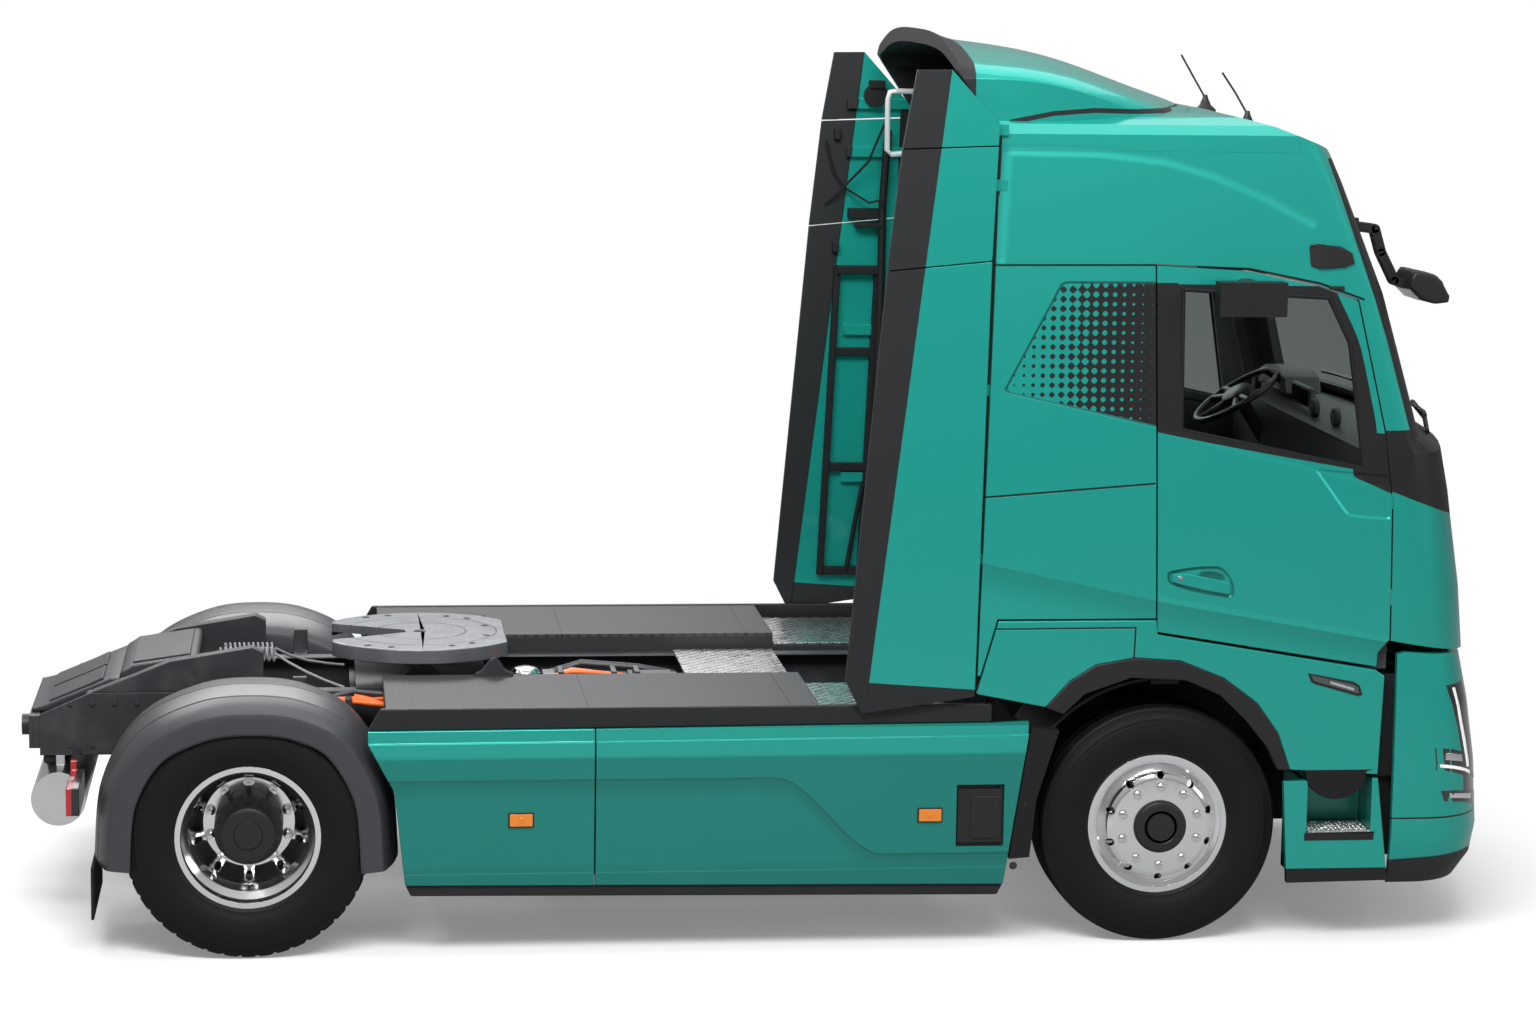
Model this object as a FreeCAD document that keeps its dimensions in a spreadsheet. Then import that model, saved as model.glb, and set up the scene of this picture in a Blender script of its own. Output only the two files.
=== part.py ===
import FreeCAD, Part
import math
import os
import types

import Sketcher
from FreeCAD import Placement, Rotation, Vector

doc = FreeCAD.newDocument("TractorUnit")
sheet = doc.addObject("Spreadsheet::Sheet", "Sizes")

# Driving sizes in millimetres: x ahead of the rear axle, y out from the centreline, z above the ground.
sizes = {
    "OriginAhead": 2196.25,
    "Overrun": 400,
    "Wheelbase": 3800,
    "RunningGap": 0.3,
    "Clearance": 5,
    # Tyres, rims and hubs.
    "TyreRadius": 507,
    "TyreHalfWidth": 156,
    "BeadRadius": 286,
    "RimFlangeRadius": 297,
    "RimFlangeHalf": 127,
    "RimWellRadius": 258,
    "RimWall": 11,
    "DiscFace": 175,
    "DiscThickness": 12,
    "DiscBowlRadius": 212,
    "HubRadius": 141,
    "HandHoleRadius": 16,
    "HandHoleCircle": 219,
    "FrontTyreY": 1034,
    "RearOuterTyreY": 1079,
    "RearTwinSpacing": 350,
    "FrontHubInner": 1000,
    "FrontHubCapRadius": 104,
    "FrontHubCapFace": 1232,
    "RearHubInner": 600,
    "RearHubFace": 1085,
    "RearHubNoseRadius": 110,
    "RearHubNoseFace": 1160,
    # Steering knuckles, kingpins and track rod.
    "KingpinY": 848,
    "KingpinRadius": 25,
    "KingpinHalf": 155,
    "ForkGap": 106,
    "ForkThickness": 38,
    "ForkRadius": 55,
    "FistHalf": 103,
    "FistRadius": 50,
    "ForkWebInner": 922,
    "ForkWebOuter": 960,
    "SpindleRadius": 40,
    "SpindleEnd": 1130,
    "SteerArmBack": 210,
    "SteerArmWidth": 44,
    "SteerArmDrop": 142,
    "SteerArmThickness": 30,
    "TrackRodRadius": 16,
    "TrackRodEyeRadius": 20,
    "TrackRodEyeHeight": 40,
    "TrackRodPinRadius": 9,
    # Axles and suspension.
    "AxleBeamHalf": 50,
    "AxleBeamLow": 400,
    "AxleBeamHigh": 500,
    "SpringY": 400,
    "SpringHalfWidth": 38,
    "SpringThickness": 34,
    "SpringSeatHalf": 75,
    "SpringHalfLength": 790,
    "SpringEndZ": 625,
    "RearAxleRadius": 68,
    "RearAxleEnd": 585,
    "RearBowlRadius": 205,
    "RearBowlHalf": 190,
    "RearSpindleRadius": 50,
    "RearSpindleEnd": 900,
    "BolsterHalfLength": 470,
    "BolsterInner": 300,
    "BolsterOuter": 410,
    "BolsterLow": 380,
    "BolsterHigh": 450,
    "BellowsAhead": 350,
    "BellowsY": 375,
    "BellowsRadius": 118,
    # Ladder frame.
    "RailOuter": 425,
    "RailFlange": 80,
    "RailWeb": 9,
    "RailLow": 690,
    "RailHigh": 960,
    "RailRear": 889,
    "CrossHeight": 170,
    "CrossDepth": 90,
    "RampInner": 352,
    "CoverHalf": 338,
    "EndBoxDepth": 45,
    "EndBoxLow": 722,
    "EndBoxHigh": 862,
    "EndStubLength": 40,
    "EndStubRadius": 45,
    "FrontBeamLow": 655,
    "FrontBeamHigh": 830,
    "FrontBeamHalf": 650,
    # Cab tilt hinge.
    "TiltZ": 900,
    "TiltArmInner": 525,
    "TiltArmOuter": 555,
    "TiltEyeRadius": 35,
    "TiltPinRadius": 18,
    "TiltLugThickness": 22,
    "CabRestRadius": 45,
    "CabRestY": 380,
    # Heavy blocks and side equipment.
    "PackRear": 690,
    "PackInner": 470,
    "PackLow": 330,
    "PackHigh": 925,
    "CentrePackRear": 1250,
    "CentrePackHalf": 395,
    "CentrePackLow": 455,
    "CentrePackHigh": 915,
    "CabPackHalf": 395,
    "CabPackLow": 640,
    "CabPackHigh": 1090,
    "TankX": -805,
    "TankZ": 530,
    "TankRadius": 115,
    "TankHalf": 560,
    "TankStrapHalf": 18,
    "TankStrapY": 385,
    "DeckThickness": 60,
    "DeckHigh": 1035,
    "DeckRear": 560,
    "DeckInner": 470,
    "TreadThickness": 12,
    "TreadHalf": 415,
    # Skirts.
    "SkirtThickness": 25,
    "SkirtSeam": 5,
    "SkirtBandDrop": 52,
    "SkirtBandLean": 34,
    "StripDrop": 48,
    "StripInset": 12,
    "RailCapHigh": 1040,
    "FlapGap": 6,
    "FlapThickness": 9,
    "FlapBarrelRadius": 6,
    "FlapPinRadius": 3,
    "FlapEar": 12,
    "InletThickness": 8,
    "InletSocketRadius": 48,
    # Rear mudguards, flaps and lamps.
    "GuardInner": 560,
    "GuardSheetShare": 0.985,
    "GuardSeam": 4,
    "GuardMountTop": 60,
    "MudflapThickness": 12,
    "MudflapInner": 590,
    "MudflapLow": 176,
    "LampInner": 640,
    "LampOuter": 1010,
    "LampRear": 745,
    "LampFront": 690,
    "LampLow": 560,
    "LampHigh": 678,
    "LampArm": 30,
    # Fifth wheel.
    "CouplingX": 733,
    "CouplingTop": 1141,
    "CouplingThickness": 38,
    "CouplingRadius": 458,
    "CouplingBack": 385,
    "CouplingFront": 372,
    "CouplingRimDepth": 26,
    "CouplingRimWidth": 14,
    "CouplingMouthHalf": 195,
    "CouplingThroatHalf": 30,
    "CouplingThroatBack": 66,
    "KingpinBoreRadius": 26,
    "TrunnionZ": 1058,
    "TrunnionRadius": 20,
    "TrunnionEyeRadius": 33,
    "TrunnionLugInner": 270,
    "TrunnionLugOuter": 325,
    "TrunnionBracketOuter": 372,
    "CouplingBaseThickness": 15,
    "CouplingBaseHalf": 285,
    "CouplingBaseOuter": 440,
    "CouplingFootHalf": 130,
    # Front wheel arches and corner pieces.
    "FenderThickness": 25,
    "ArchTrimProud": 6,
    "ArchTrimDepth": 45,
    "FenderTieHigh": 1141,
    "LinerRadius": 625,
    "LinerThickness": 12,
    "LinerInner": 640,
    "StepInner": 930,
    "StepWall": 25,
    "StepTread": 478,
    "StepRecess": 200,
    "StepSkin": 30,
    "BandRear": 30,
    "BandFront": 30,
    "BumperWall": 30,
    "BumperSplitZ": 600,
    "LampSeam": 0.3,
    "BumperBracketHalf": 45,
    "BumperBracketY": 520,
    "BumperBracketLow": 700,
    "BumperBracketHigh": 790,
    # Cab shell.
    "CabHalfWidth": 1250,
    "CabWall": 45,
    "CabCornerReach": 250,
    "CabFaceBow": 139,
    "CabRoofShoulder": 150,
    "RoofPanelZ": 3335,
    "DoorGap": 7,
    "HingePinRadius": 3.2,
    "HingeLowZ": 1450,
    "HingeHighZ": 1860,
    "HingeLength": 70,
    "HingeTab": 12,
    "GlassThickness": 6,
    "GlassInset": 20,
    "ScreenInset": 12,
    "ScreenThickness": 7,
    "ScreenGlassHigh": 2960,
    "FloorLow": 1170,
    "FloorThickness": 40,
    "SillHigh": 1420,
    "FirewallThickness": 30,
    "FirewallHigh": 1450,
    # Deflectors behind and on the cab.
    "DeflectorThickness": 28,
    "DeflectorSeam": 6,
    "StayThickness": 30,
    "StayHeight": 45,
    "StayInset": 552,
    "RoofDeflectorWall": 25,
    "RoofDeflectorFall": 96,
    # Cab inside.
    "SeatY": 620,
    "SeatHalfWidth": 250,
    "SeatLength": 510,
    "SeatBaseHalf": 170,
    "SeatCushionLow": 1640,
    "SeatCushionHigh": 1770,
    "SeatBackThickness": 120,
    "SeatBackHigh": 2440,
    "HeadrestHalf": 120,
    "HeadrestHigh": 2610,
    "BunkHigh": 1790,
    "BunkMattress": 150,
    "WheelY": 620,
    "WheelZ": 2117,
    "WheelRadius": 218,
    "WheelGrip": 15,
    "ColumnRadius": 32,
    "ColumnLength": 330,
    # Mirrors.
    "MirrorArmZ": 2796,
    "MirrorArmHalf": 22,
    "MirrorReach": 95,
    "MirrorHeadWidth": 95,
    "MirrorHeadLength": 280,
    "MirrorHeadLow": 2680,
    "MirrorHeadHeight": 140,
    "FrontMirrorY": 825,
    "FrontMirrorHeadHalf": 125,
    "FrontMirrorHeadDepth": 76,
    "FrontMirrorHeadHeight": 68,
    "FrontMirrorArmRadius": 20,
}

# Named places in the side view, each an x and a z.
places = {
    "RampFoot": (-675, 960),
    "RampHeel": (-889, 866),
    "RampMid": (-340, 1092),
    "RampTop": (10, 1150),
    "RampEnd": (55, 1128),
    "CoverFoot": (-930, 862),
    "CoverEdge": (-930, 878),
    "CoverRise": (-875, 890),
    "CoverSlope": (-675, 972),
    "CoverCrest": (-600, 1005),
    "CoverFront": (-556, 1008),
    "CoverUnder": (-556, 915),
    "CoverUnderRear": (-870, 862),
    "LidFoot": (-551, 910),
    "LidRear": (-551, 1030),
    "LidRise": (-500, 1062),
    "LidCrest": (-240, 1100),
    "LidFront": (-220, 1088),
    "LidToe": (-220, 1048),
    "LidUnder": (-452, 985),
    "LidSeat": (-461, 910),
    "SkirtRearTop": (488, 949),
    "SkirtRearBend": (594, 700),
    "SkirtRearLow": (639, 307),
    "SkirtSplitTop": (1418, 952),
    "SkirtSplitLow": (1418, 298),
    "GuardRearLow": (-634, 393),
    "GuardRear": (-602, 700),
    "GuardRearHigh": (-455, 945),
    "GuardRearTop": (-215, 1070),
    "GuardTop": (20, 1098),
    "GuardFrontTop": (240, 1068),
    "GuardFrontHigh": (440, 955),
    "GuardFront": (585, 700),
    "GuardFrontLow": (618, 375),
}

# The same for the cab and all that stands by it, each x ahead of the front axle.
front_places = {
    "SkirtFrontTop": (-574, 969),
    "SkirtKink": (-730, 962),
    "SkirtFrontLow": (-671, 278),
    "InletRearTop": (-875, 704),
    "InletFrontLow": (-675, 441),
    "FenderRearHigh": (-716, 1394),
    "FenderRearLow": (-802, 1088),
    "ArchRearOut": (-510, 1030),
    "ArchRearRise": (-410, 1140),
    "ArchRearTop": (-300, 1208),
    "ArchTop": (-140, 1236),
    "ArchFrontTop": (60, 1222),
    "ArchFrontRise": (240, 1150),
    "ArchFrontHigh": (390, 1040),
    "ArchFrontMid": (485, 910),
    "ArchFrontLow": (542, 752),
    "ArchRearIn": (-435, 1000),
    "ArchRearInRise": (-345, 1085),
    "ArchInTop": (-150, 1152),
    "ArchInFrontTop": (80, 1140),
    "ArchInFrontRise": (230, 1075),
    "ArchInFrontHigh": (350, 960),
    "ArchInFrontMid": (440, 850),
    "ArchInFrontLow": (490, 752),
    "FenderFrontLow": (922, 728),
    "FenderFrontBend": (935, 1150),
    "FenderFrontHigh": (897, 1176),
    "FenderDoorRear": (-43, 1333),
    "FenderStep": (-50, 1394),
    "GuardArchTopRear": (-564, 945),
    "GuardArchTopFront": (-448, 930),
    "GuardArchLowFront": (-562, 392),
    "GuardArchLowRear": (-648, 385),
    "GuardArchMidFront": (-538, 640),
    "GuardArchMidRear": (-612, 640),
    "StepRearHigh": (518, 701),
    "StepRearLow": (545, 262),
    "StepFrontHigh": (925, 712),
    "StepFrontLow": (982, 268),
    "BandHigh": (995, 1255),
    "BandTop": (945, 1262),
    "LipRear": (992, 262),
    "BumperCrest": (1434, 1150),
    "BumperShoulder": (1512, 1007),
    "BumperWaist": (1550, 760),
    "BumperWidest": (1572, 466),
    "BumperTuck": (1551, 341),
    "BumperLip": (1488, 246),
    "BumperTopRear": (992, 1237),
    "BumperTopChamfer": (1024, 1249),
    "BumperTopBend": (1250, 1230),
    "BumperTopFront": (1700, 1108),
    "FaceFoot": (1490, 1100),
    "FaceLow": (1483, 1174),
    "FaceMid": (1452, 1500),
    "FaceHigh": (1407, 1782),
    "FaceBelt": (1389, 1903),
    "FaceCowl": (1350, 2090),
    "ScreenFoot": (1252, 2150),
    "ScreenMid": (1072, 2740),
    "ScreenTop": (878, 3200),
    "FaceCrown": (680, 3620),
    "CabRearLow": (-794, 1402),
    "CabTipRear": (-799, 1165),
    "CabTipFront": (-789, 1165),
    "CabTipHigh": (-722, 1403),
    "CabDoorStep": (-50, 1402),
    "CabDoorRear": (-43, 1345),
    "CabDoorFront": (900, 1190),
    "CabDoorKink": (903, 1250),
    "CabCornerLow": (948, 1302),
    "CabNoseBend": (1250, 1245),
    "CabNoseRise": (1445, 1211),
    "CabNoseLip": (1492, 1181),
    "CabNoseLow": (1700, 1123),
    "CabNoseAhead": (1700, 2700),
    "RoofAhead": (1120, 3125),
    "RoofNose": (832, 3243),
    "RoofBrow": (650, 3345),
    "RoofFront": (400, 3440),
    "RoofMid": (160, 3500),
    "RoofRear": (-746, 3512),
    "CabRearHigh": (-749, 3420),
    "DoorRearHigh": (-90, 2871),
    "DoorTopMid": (296, 2850),
    "DoorTopFront": (594, 2788),
    "DoorCorner": (760, 2728),
    "DoorFrontHigh": (836, 2420),
    "DoorFrontMid": (894, 2180),
    "DoorFrontLow": (936, 1898),
    "DoorFrontFoot": (951, 1305),
    "DoorFrontKink": (906, 1252),
    "DoorFrontToe": (902, 1180),
    "DoorRearToe": (-43, 1335),
    "WindowRearHigh": (22, 2772),
    "WindowFrontHigh": (637, 2740),
    "WindowFrontMid": (735, 2547),
    "WindowFrontLow": (812, 2030),
    "WindowRearLow": (32, 2193),
    "PillarHigh": (500, 3335),
    "PillarEave": (600, 3060),
    "DeflectorRearLow": (-1351, 1145),
    "DeflectorTip": (-1282, 1010),
    "DeflectorFrontLow": (-810, 1077),
    "DeflectorSeamLowRear": (-1209, 2840),
    "DeflectorSeamLowFront": (-780, 2883),
    "DeflectorSeamHighRear": (-1157, 3335),
    "DeflectorSeamHighFront": (-764, 3351),
    "DeflectorFrontHigh": (-762, 3440),
    "DeflectorTopFront": (-960, 3659),
    "DeflectorTopRear": (-1103, 3657),
    "RoofDefRear": (-915, 3800),
    "RoofDefRearRise": (-750, 3752),
    "RoofDefCrest": (-540, 3726),
    "RoofDefMid": (-271, 3655),
    "RoofDefFront": (0, 3560),
    "RoofDefTip": (185, 3488),
    "RoofDefFloor": (-746, 3400),
    "RoofDefRearLow": (-915, 3652),
    "HeadlampInner": (1400, 1090),
    "HeadlampSide": (1250, 1090),
    "FrontMirrorBase": (800, 3025),
    "FrontMirrorElbow": (918, 3000),
    "FrontMirrorKnee": (1093, 2762),
    "FrontMirrorHead": (1208, 2745),
}

# Sizes along x reckoned ahead of the front axle.
ahead = {
    "CabRestX": -570,
    "PackFront": -870,
    "CentrePackFront": -920,
    "CabPackRear": -500,
    "CabPackFront": 1000,
    "DeckFront": -740,
    "TreadFirstRear": -1910,
    "TreadFirstFront": -1455,
    "TreadSideRear": -1440,
    "TreadSideFront": -900,
    "RailFront": 1125,
    "FrontBeamRear": 1125,
    "FrontBeamFront": 1265,
    "TiltX": 1180,
    "StepInnerRear": 600,
    "BumperRear": 992,
    "FloorRear": -740,
    "FloorFront": 958,
    "BulkheadFront": 1435,
    "StayRear": -1040,
    "SeatRear": 60,
    "BunkRear": -725,
    "BunkFront": -120,
    "DashRear": 840,
    "WheelX": 730,
    "MirrorArmX": 270,
    "MirrorHeadRear": 130,
}

# Sizes across reckoned inboard of the cab's side.
inboard = {
    "PackOuter": 55,
    "DeckOuter": 60,
    "RailCapInner": 60,
    "MudflapOuter": 25,
    "LinerOuter": 50,
    "GuardFlangeInner": 55,
    "StepOuter": 5,
    "BandDepth": 50,
    "BumperHalfWidth": 5,
    "CabBowReach": 250,
    "SillInner": 110,
    "SillOuter": 68,
    "RoofDeflectorHalf": 100,
    "BunkHalf": 140,
    "DashHalf": 130,
    "TreadSideOuter": 130,
}

# Shares of a size that a shape follows.
deflector_arch_shares = [(-1, 1.3), (-0.974, 0.96), (-0.87, 0.6), (-0.68, 0.27), (-0.43, 0.06), (0, 0), (0.43, 0.06),
                         (0.68, 0.27), (0.87, 0.6), (0.974, 0.96), (1, 1.3)]
deflector_width_shares = [1, 1, 1, 0.965, 0.88, 0.73]
deflector_fall_shares = [1.45, 1.05, 1, 1, 0.9, 0.7]
tyre_section_shares = [(0.60, 0.0), (0.715, 0.0), (0.735, 0.056), (0.80, 0.075), (0.97, 0.30), (1.0, 0.48),
                       (0.96, 0.72), (0.90, 0.90), (0.80, 0.975), (0.55, 1.0)]
level_width_shares = [0.988, 0.990, 0.998, 1.0, 1.0, 1.0, 1.0, 0.992, 0.975, 0.955]
level_reach_shares = [0.388, 0.384, 0.368, 0.344, 0.328, 0.304, 0.24, 0.216, 0.216, 0.216]
shoulder_shares = [(0.0, 1.9), (0.06, 1.25), (0.22, 0.8), (0.52, 0.46), (1.0, 0.26)]
crown_shares = [(0.66, 0.06), (0.3, -0.06)]
draw_share = 0.4
corner_shares = [0.14, 0.28, 0.42, 0.56, 0.7, 0.85]
bow_shares = [1.0, 0.8, 0.6, 0.4, 0.2]


class Length:
    """A size or a sum of sizes, kept as a sheet expression and as its value."""

    def __init__(self, text, value):
        self.text = text
        self.value = value

    def __add__(self, other):
        return Length(f"({self.text} + {text_of(other)})", self.value + float(other))

    def __radd__(self, other):
        return Length(f"({text_of(other)} + {self.text})", float(other) + self.value)

    def __sub__(self, other):
        return Length(f"({self.text} - {text_of(other)})", self.value - float(other))

    def __rsub__(self, other):
        return Length(f"({text_of(other)} - {self.text})", float(other) - self.value)

    def __mul__(self, share):
        return Length(f"({self.text} * {text_of(share)})", self.value * float(share))

    __rmul__ = __mul__

    def __truediv__(self, share):
        return Length(f"({self.text} / {text_of(share)})", self.value / float(share))

    def __neg__(self):
        return Length(f"(-{self.text})", -self.value)

    def __float__(self):
        return float(self.value)


def text_of(value):
    return value.text if isinstance(value, Length) else repr(float(value))


def fill_sheet():
    entries = dict(sizes)
    for name, (x, z) in places.items():
        entries[name + "X"] = x
        entries[name + "Z"] = z
    reach = dict(ahead)
    for name, (x, z) in front_places.items():
        reach[name + "X"] = x
        entries[name + "Z"] = z
    for name, value in reach.items():
        entries[name + "Ahead"] = value
        entries[name] = f"=Wheelbase + {name}Ahead"
    for name, value in inboard.items():
        entries[name + "Inboard"] = value
        entries[name] = f"=CabHalfWidth - {name}Inboard"
    for row, (alias, value) in enumerate(entries.items(), 1):
        sheet.set(f"A{row}", alias)
        sheet.set(f"B{row}", str(value))
        sheet.setAlias(f"B{row}", alias)
    doc.recompute()
    return {alias: Length(f"Sizes.{alias}", float(sheet.get(alias))) for alias in entries}


size = types.SimpleNamespace(**fill_sheet())
nodes = []


def place(name):
    return getattr(size, name + "X"), getattr(size, name + "Z")


def bind(part, field, value):
    if isinstance(value, Length):
        part.setExpression(field, value.text)
    else:
        part.setExpression(field, repr(float(value)))


def put(part, x, y, z, rotation=None):
    if rotation is not None:
        part.Placement = Placement(Vector(), rotation)
    bind(part, "Placement.Base.x", x)
    bind(part, "Placement.Base.y", y)
    bind(part, "Placement.Base.z", z)
    return part


def box(name, x0, x1, y0, y1, z0, z1):
    part = doc.addObject("Part::Box", name)
    bind(part, "Length", x1 - x0)
    bind(part, "Width", y1 - y0)
    bind(part, "Height", z1 - z0)
    return put(part, x0, y0, z0)


ALONG_X = Rotation(Vector(0, 1, 0), 90)
ALONG_Y = Rotation(Vector(1, 0, 0), -90)
ALONG_Z = Rotation()


def cylinder(name, axis, x, y, z, radius, length):
    part = doc.addObject("Part::Cylinder", name)
    bind(part, "Radius", radius)
    bind(part, "Height", length)
    return put(part, x, y, z, axis)


def joined(name, parts):
    part = doc.addObject("Part::MultiFuse", name)
    part.Shapes = parts
    return part


def cut(name, base, tool):
    part = doc.addObject("Part::Cut", name)
    part.Base = base
    part.Tool = tool
    return part


def shared(name, base, tool):
    part = doc.addObject("Part::Common", name)
    part.Base = base
    part.Tool = tool
    return part


def together(name, parts):
    part = doc.addObject("Part::Compound", name)
    part.Links = parts
    return part


def mirrored(part):
    copy = doc.addObject("Part::Mirroring", part.Name + "_left")
    copy.Source = part
    copy.Normal = (0, 1, 0)
    return copy


def both(part):
    return [part, mirrored(part)]


def origin_plane(body, role):
    return next(f for f in body.Origin.OriginFeatures if f.Role == role)


def outline_sketch(body, name, role, corners, start):
    sketch = body.newObject("Sketcher::SketchObject", name)
    sketch.AttachmentSupport = (origin_plane(body, role), [""])
    sketch.MapMode = "FlatFace"
    bind(sketch, "AttachmentOffset.Base.z", start)
    spots = [Vector(float(a), float(b), 0) for a, b in corners]
    count = len(spots)
    for i in range(count):
        sketch.addGeometry(Part.LineSegment(spots[i], spots[(i + 1) % count]), False)
    for i in range(count):
        sketch.addConstraint(Sketcher.Constraint("Coincident", i, 2, (i + 1) % count, 1))
    for i, (a, b) in enumerate(corners):
        for kind, value in (("DistanceX", a), ("DistanceY", b)):
            if isinstance(value, Length):
                index = sketch.addConstraint(Sketcher.Constraint(kind, -1, 1, i, 1, float(value)))
                bind(sketch, f"Constraints[{index}]", value)
            else:
                line = -2 if kind == "DistanceX" else -1
                sketch.addConstraint(Sketcher.Constraint("PointOnObject", i, 1, line))
    return sketch


def pad(name, role, corners, start, depth):
    body = doc.addObject("PartDesign::Body", name)
    sketch = outline_sketch(body, name + "_outline", role, corners, start)
    feature = body.newObject("PartDesign::Pad", name + "_pad")
    feature.Profile = sketch
    bind(feature, "Length", depth)
    return body


def side_pad(name, places_used, inner, outer):
    """A plate of the right-hand side, seen from the side, from |y| = inner to |y| = outer."""
    return pad(name, "XZ_Plane", [place(p) for p in places_used], inner, outer - inner)


def revolved(name, corners):
    """A ring about its own Y axis: corners are (y, radius)."""
    body = doc.addObject("PartDesign::Body", name)
    sketch = outline_sketch(body, name + "_section", "YZ_Plane", corners, 0)
    feature = body.newObject("PartDesign::Revolution", name + "_turn")
    feature.Profile = sketch
    feature.ReferenceAxis = (sketch, ["H_Axis"])
    feature.Angle = 360
    return body


def feature(name, shape):
    part = doc.addObject("Part::Feature", name)
    part.Shape = shape
    part.Placement = Placement()
    return part


def node(label, parts):
    part = together(label, parts)
    put(part, -size.OriginAhead, 0, 0)
    nodes.append(part)
    return part


def prism(corners, axis, start, end):
    """A straight solid on a closed outline: axis Y takes (x, z) corners, X takes (y, z), Z takes (x, y)."""
    if axis == "Y":
        spots = [Vector(float(a), float(start), float(b)) for a, b in corners]
        way = Vector(0, float(end) - float(start), 0)
    elif axis == "X":
        spots = [Vector(float(start), float(a), float(b)) for a, b in corners]
        way = Vector(float(end) - float(start), 0, 0)
    else:
        spots = [Vector(float(a), float(b), float(start)) for a, b in corners]
        way = Vector(0, 0, float(end) - float(start))
    return Part.Face(Part.makePolygon(spots + spots[:1])).extrude(way)


def grown(corners, gap, axis, start, end):
    """The same prism with its outline grown by a gap."""
    spots = [Vector(float(a), float(b), 0) for a, b in corners]
    wire = Part.makePolygon(spots + spots[:1]).makeOffset2D(float(gap), 2, False, False)
    ring = [(v.Point.x, v.Point.y) for v in wire.OrderedVertexes]
    return prism(ring, axis, start, end)


def solids_of(shape):
    return shape.Solids[0] if len(shape.Solids) == 1 else Part.makeCompound(shape.Solids)


# Tyres: a ring that fills the space between the rim and the tread.
def tyre(name):
    ring = []
    rise = size.TyreRadius - size.BeadRadius
    for width, height in tyre_section_shares:
        ring.append((size.TyreHalfWidth * width, size.BeadRadius + rise * height))
    ring += [(-y, radius) for y, radius in reversed(ring)]
    return revolved(name, ring)


# Disc wheels: flanges, drop well and a bowl that runs out to the disc's mounting face. The disc faces -Y.
def rim_section():
    half = size.RimFlangeHalf
    wall = size.RimWall
    seat = size.BeadRadius - size.RunningGap
    well = size.RimWellRadius
    inner = well - wall
    face = size.DiscFace
    back = size.DiscFace - size.DiscThickness
    bowl = size.DiscBowlRadius
    rise = (well - bowl) / 2
    points = [
        (-half, seat - wall), (-half, size.RimFlangeRadius), (-half + wall, size.RimFlangeRadius), (-half + wall, seat),
        (-half * 0.45, seat), (-half * 0.3, well), (half * 0.45, well), (half * 0.6, seat),
        (half - wall, seat), (half - wall, size.RimFlangeRadius), (half, size.RimFlangeRadius), (half, seat - wall),
        (half * 0.85, seat - wall), (half * 0.82, well), (half, inner - wall / 2), (face - wall, bowl + rise / 2),
        (face, bowl - rise / 2), (face, size.HubRadius), (back, size.HubRadius), (back, bowl - rise),
        (half * 0.9, inner - wall * 2), (half * 0.5, inner), (-half * 0.3, inner), (-half * 0.5, seat - wall),
    ]
    return [(-y, radius) for y, radius in points]


def rim(name):
    body = revolved(name, rim_section())
    doc.recompute()
    sketch = body.newObject("Sketcher::SketchObject", name + "_hole")
    sketch.AttachmentSupport = (origin_plane(body, "XZ_Plane"), [""])
    sketch.MapMode = "FlatFace"
    bind(sketch, "AttachmentOffset.Base.z", size.RimFlangeHalf / 4)
    sketch.addGeometry(Part.Circle(Vector(0, float(size.HandHoleCircle), 0), Vector(0, 0, 1),
                                   float(size.HandHoleRadius)), False)
    sketch.addConstraint(Sketcher.Constraint("PointOnObject", 0, 3, -2))
    index = sketch.addConstraint(Sketcher.Constraint("DistanceY", -1, 1, 0, 3, float(size.HandHoleCircle)))
    bind(sketch, f"Constraints[{index}]", size.HandHoleCircle)
    index = sketch.addConstraint(Sketcher.Constraint("Radius", 0, float(size.HandHoleRadius)))
    bind(sketch, f"Constraints[{index}]", size.HandHoleRadius)
    pocket = body.newObject("PartDesign::Pocket", name + "_holes")
    pocket.Profile = sketch
    pocket.Reversed = True
    bind(pocket, "Length", size.DiscFace + size.RimFlangeHalf)
    pattern = body.newObject("PartDesign::PolarPattern", name + "_ring")
    pattern.Originals = [pocket]
    pattern.Axis = (origin_axis(body, "Y_Axis"), [""])
    pattern.Angle = 360
    pattern.Occurrences = 10
    body.Tip = pattern
    return body


def origin_axis(body, role):
    return next(f for f in body.Origin.OriginFeatures if f.Role == role)


front_tyre = put(tyre("FrontTyre"), size.Wheelbase, -size.FrontTyreY, size.TyreRadius)
front_rim = put(rim("FrontRim"), size.Wheelbase, -size.FrontTyreY, size.TyreRadius)
rear_outer_tyre = put(tyre("RearOuterTyre"), 0, -size.RearOuterTyreY, size.TyreRadius)
rear_inner_tyre = put(tyre("RearInnerTyre"), 0, size.RearTwinSpacing - size.RearOuterTyreY, size.TyreRadius)
turned = Rotation(Vector(0, 0, 1), 180)
rear_outer_rim = put(rim("RearOuterRim"), 0, -size.RearOuterTyreY, size.TyreRadius, turned)
rear_inner_rim = put(rim("RearInnerRim"), 0, size.RearTwinSpacing - size.RearOuterTyreY, size.TyreRadius)

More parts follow.
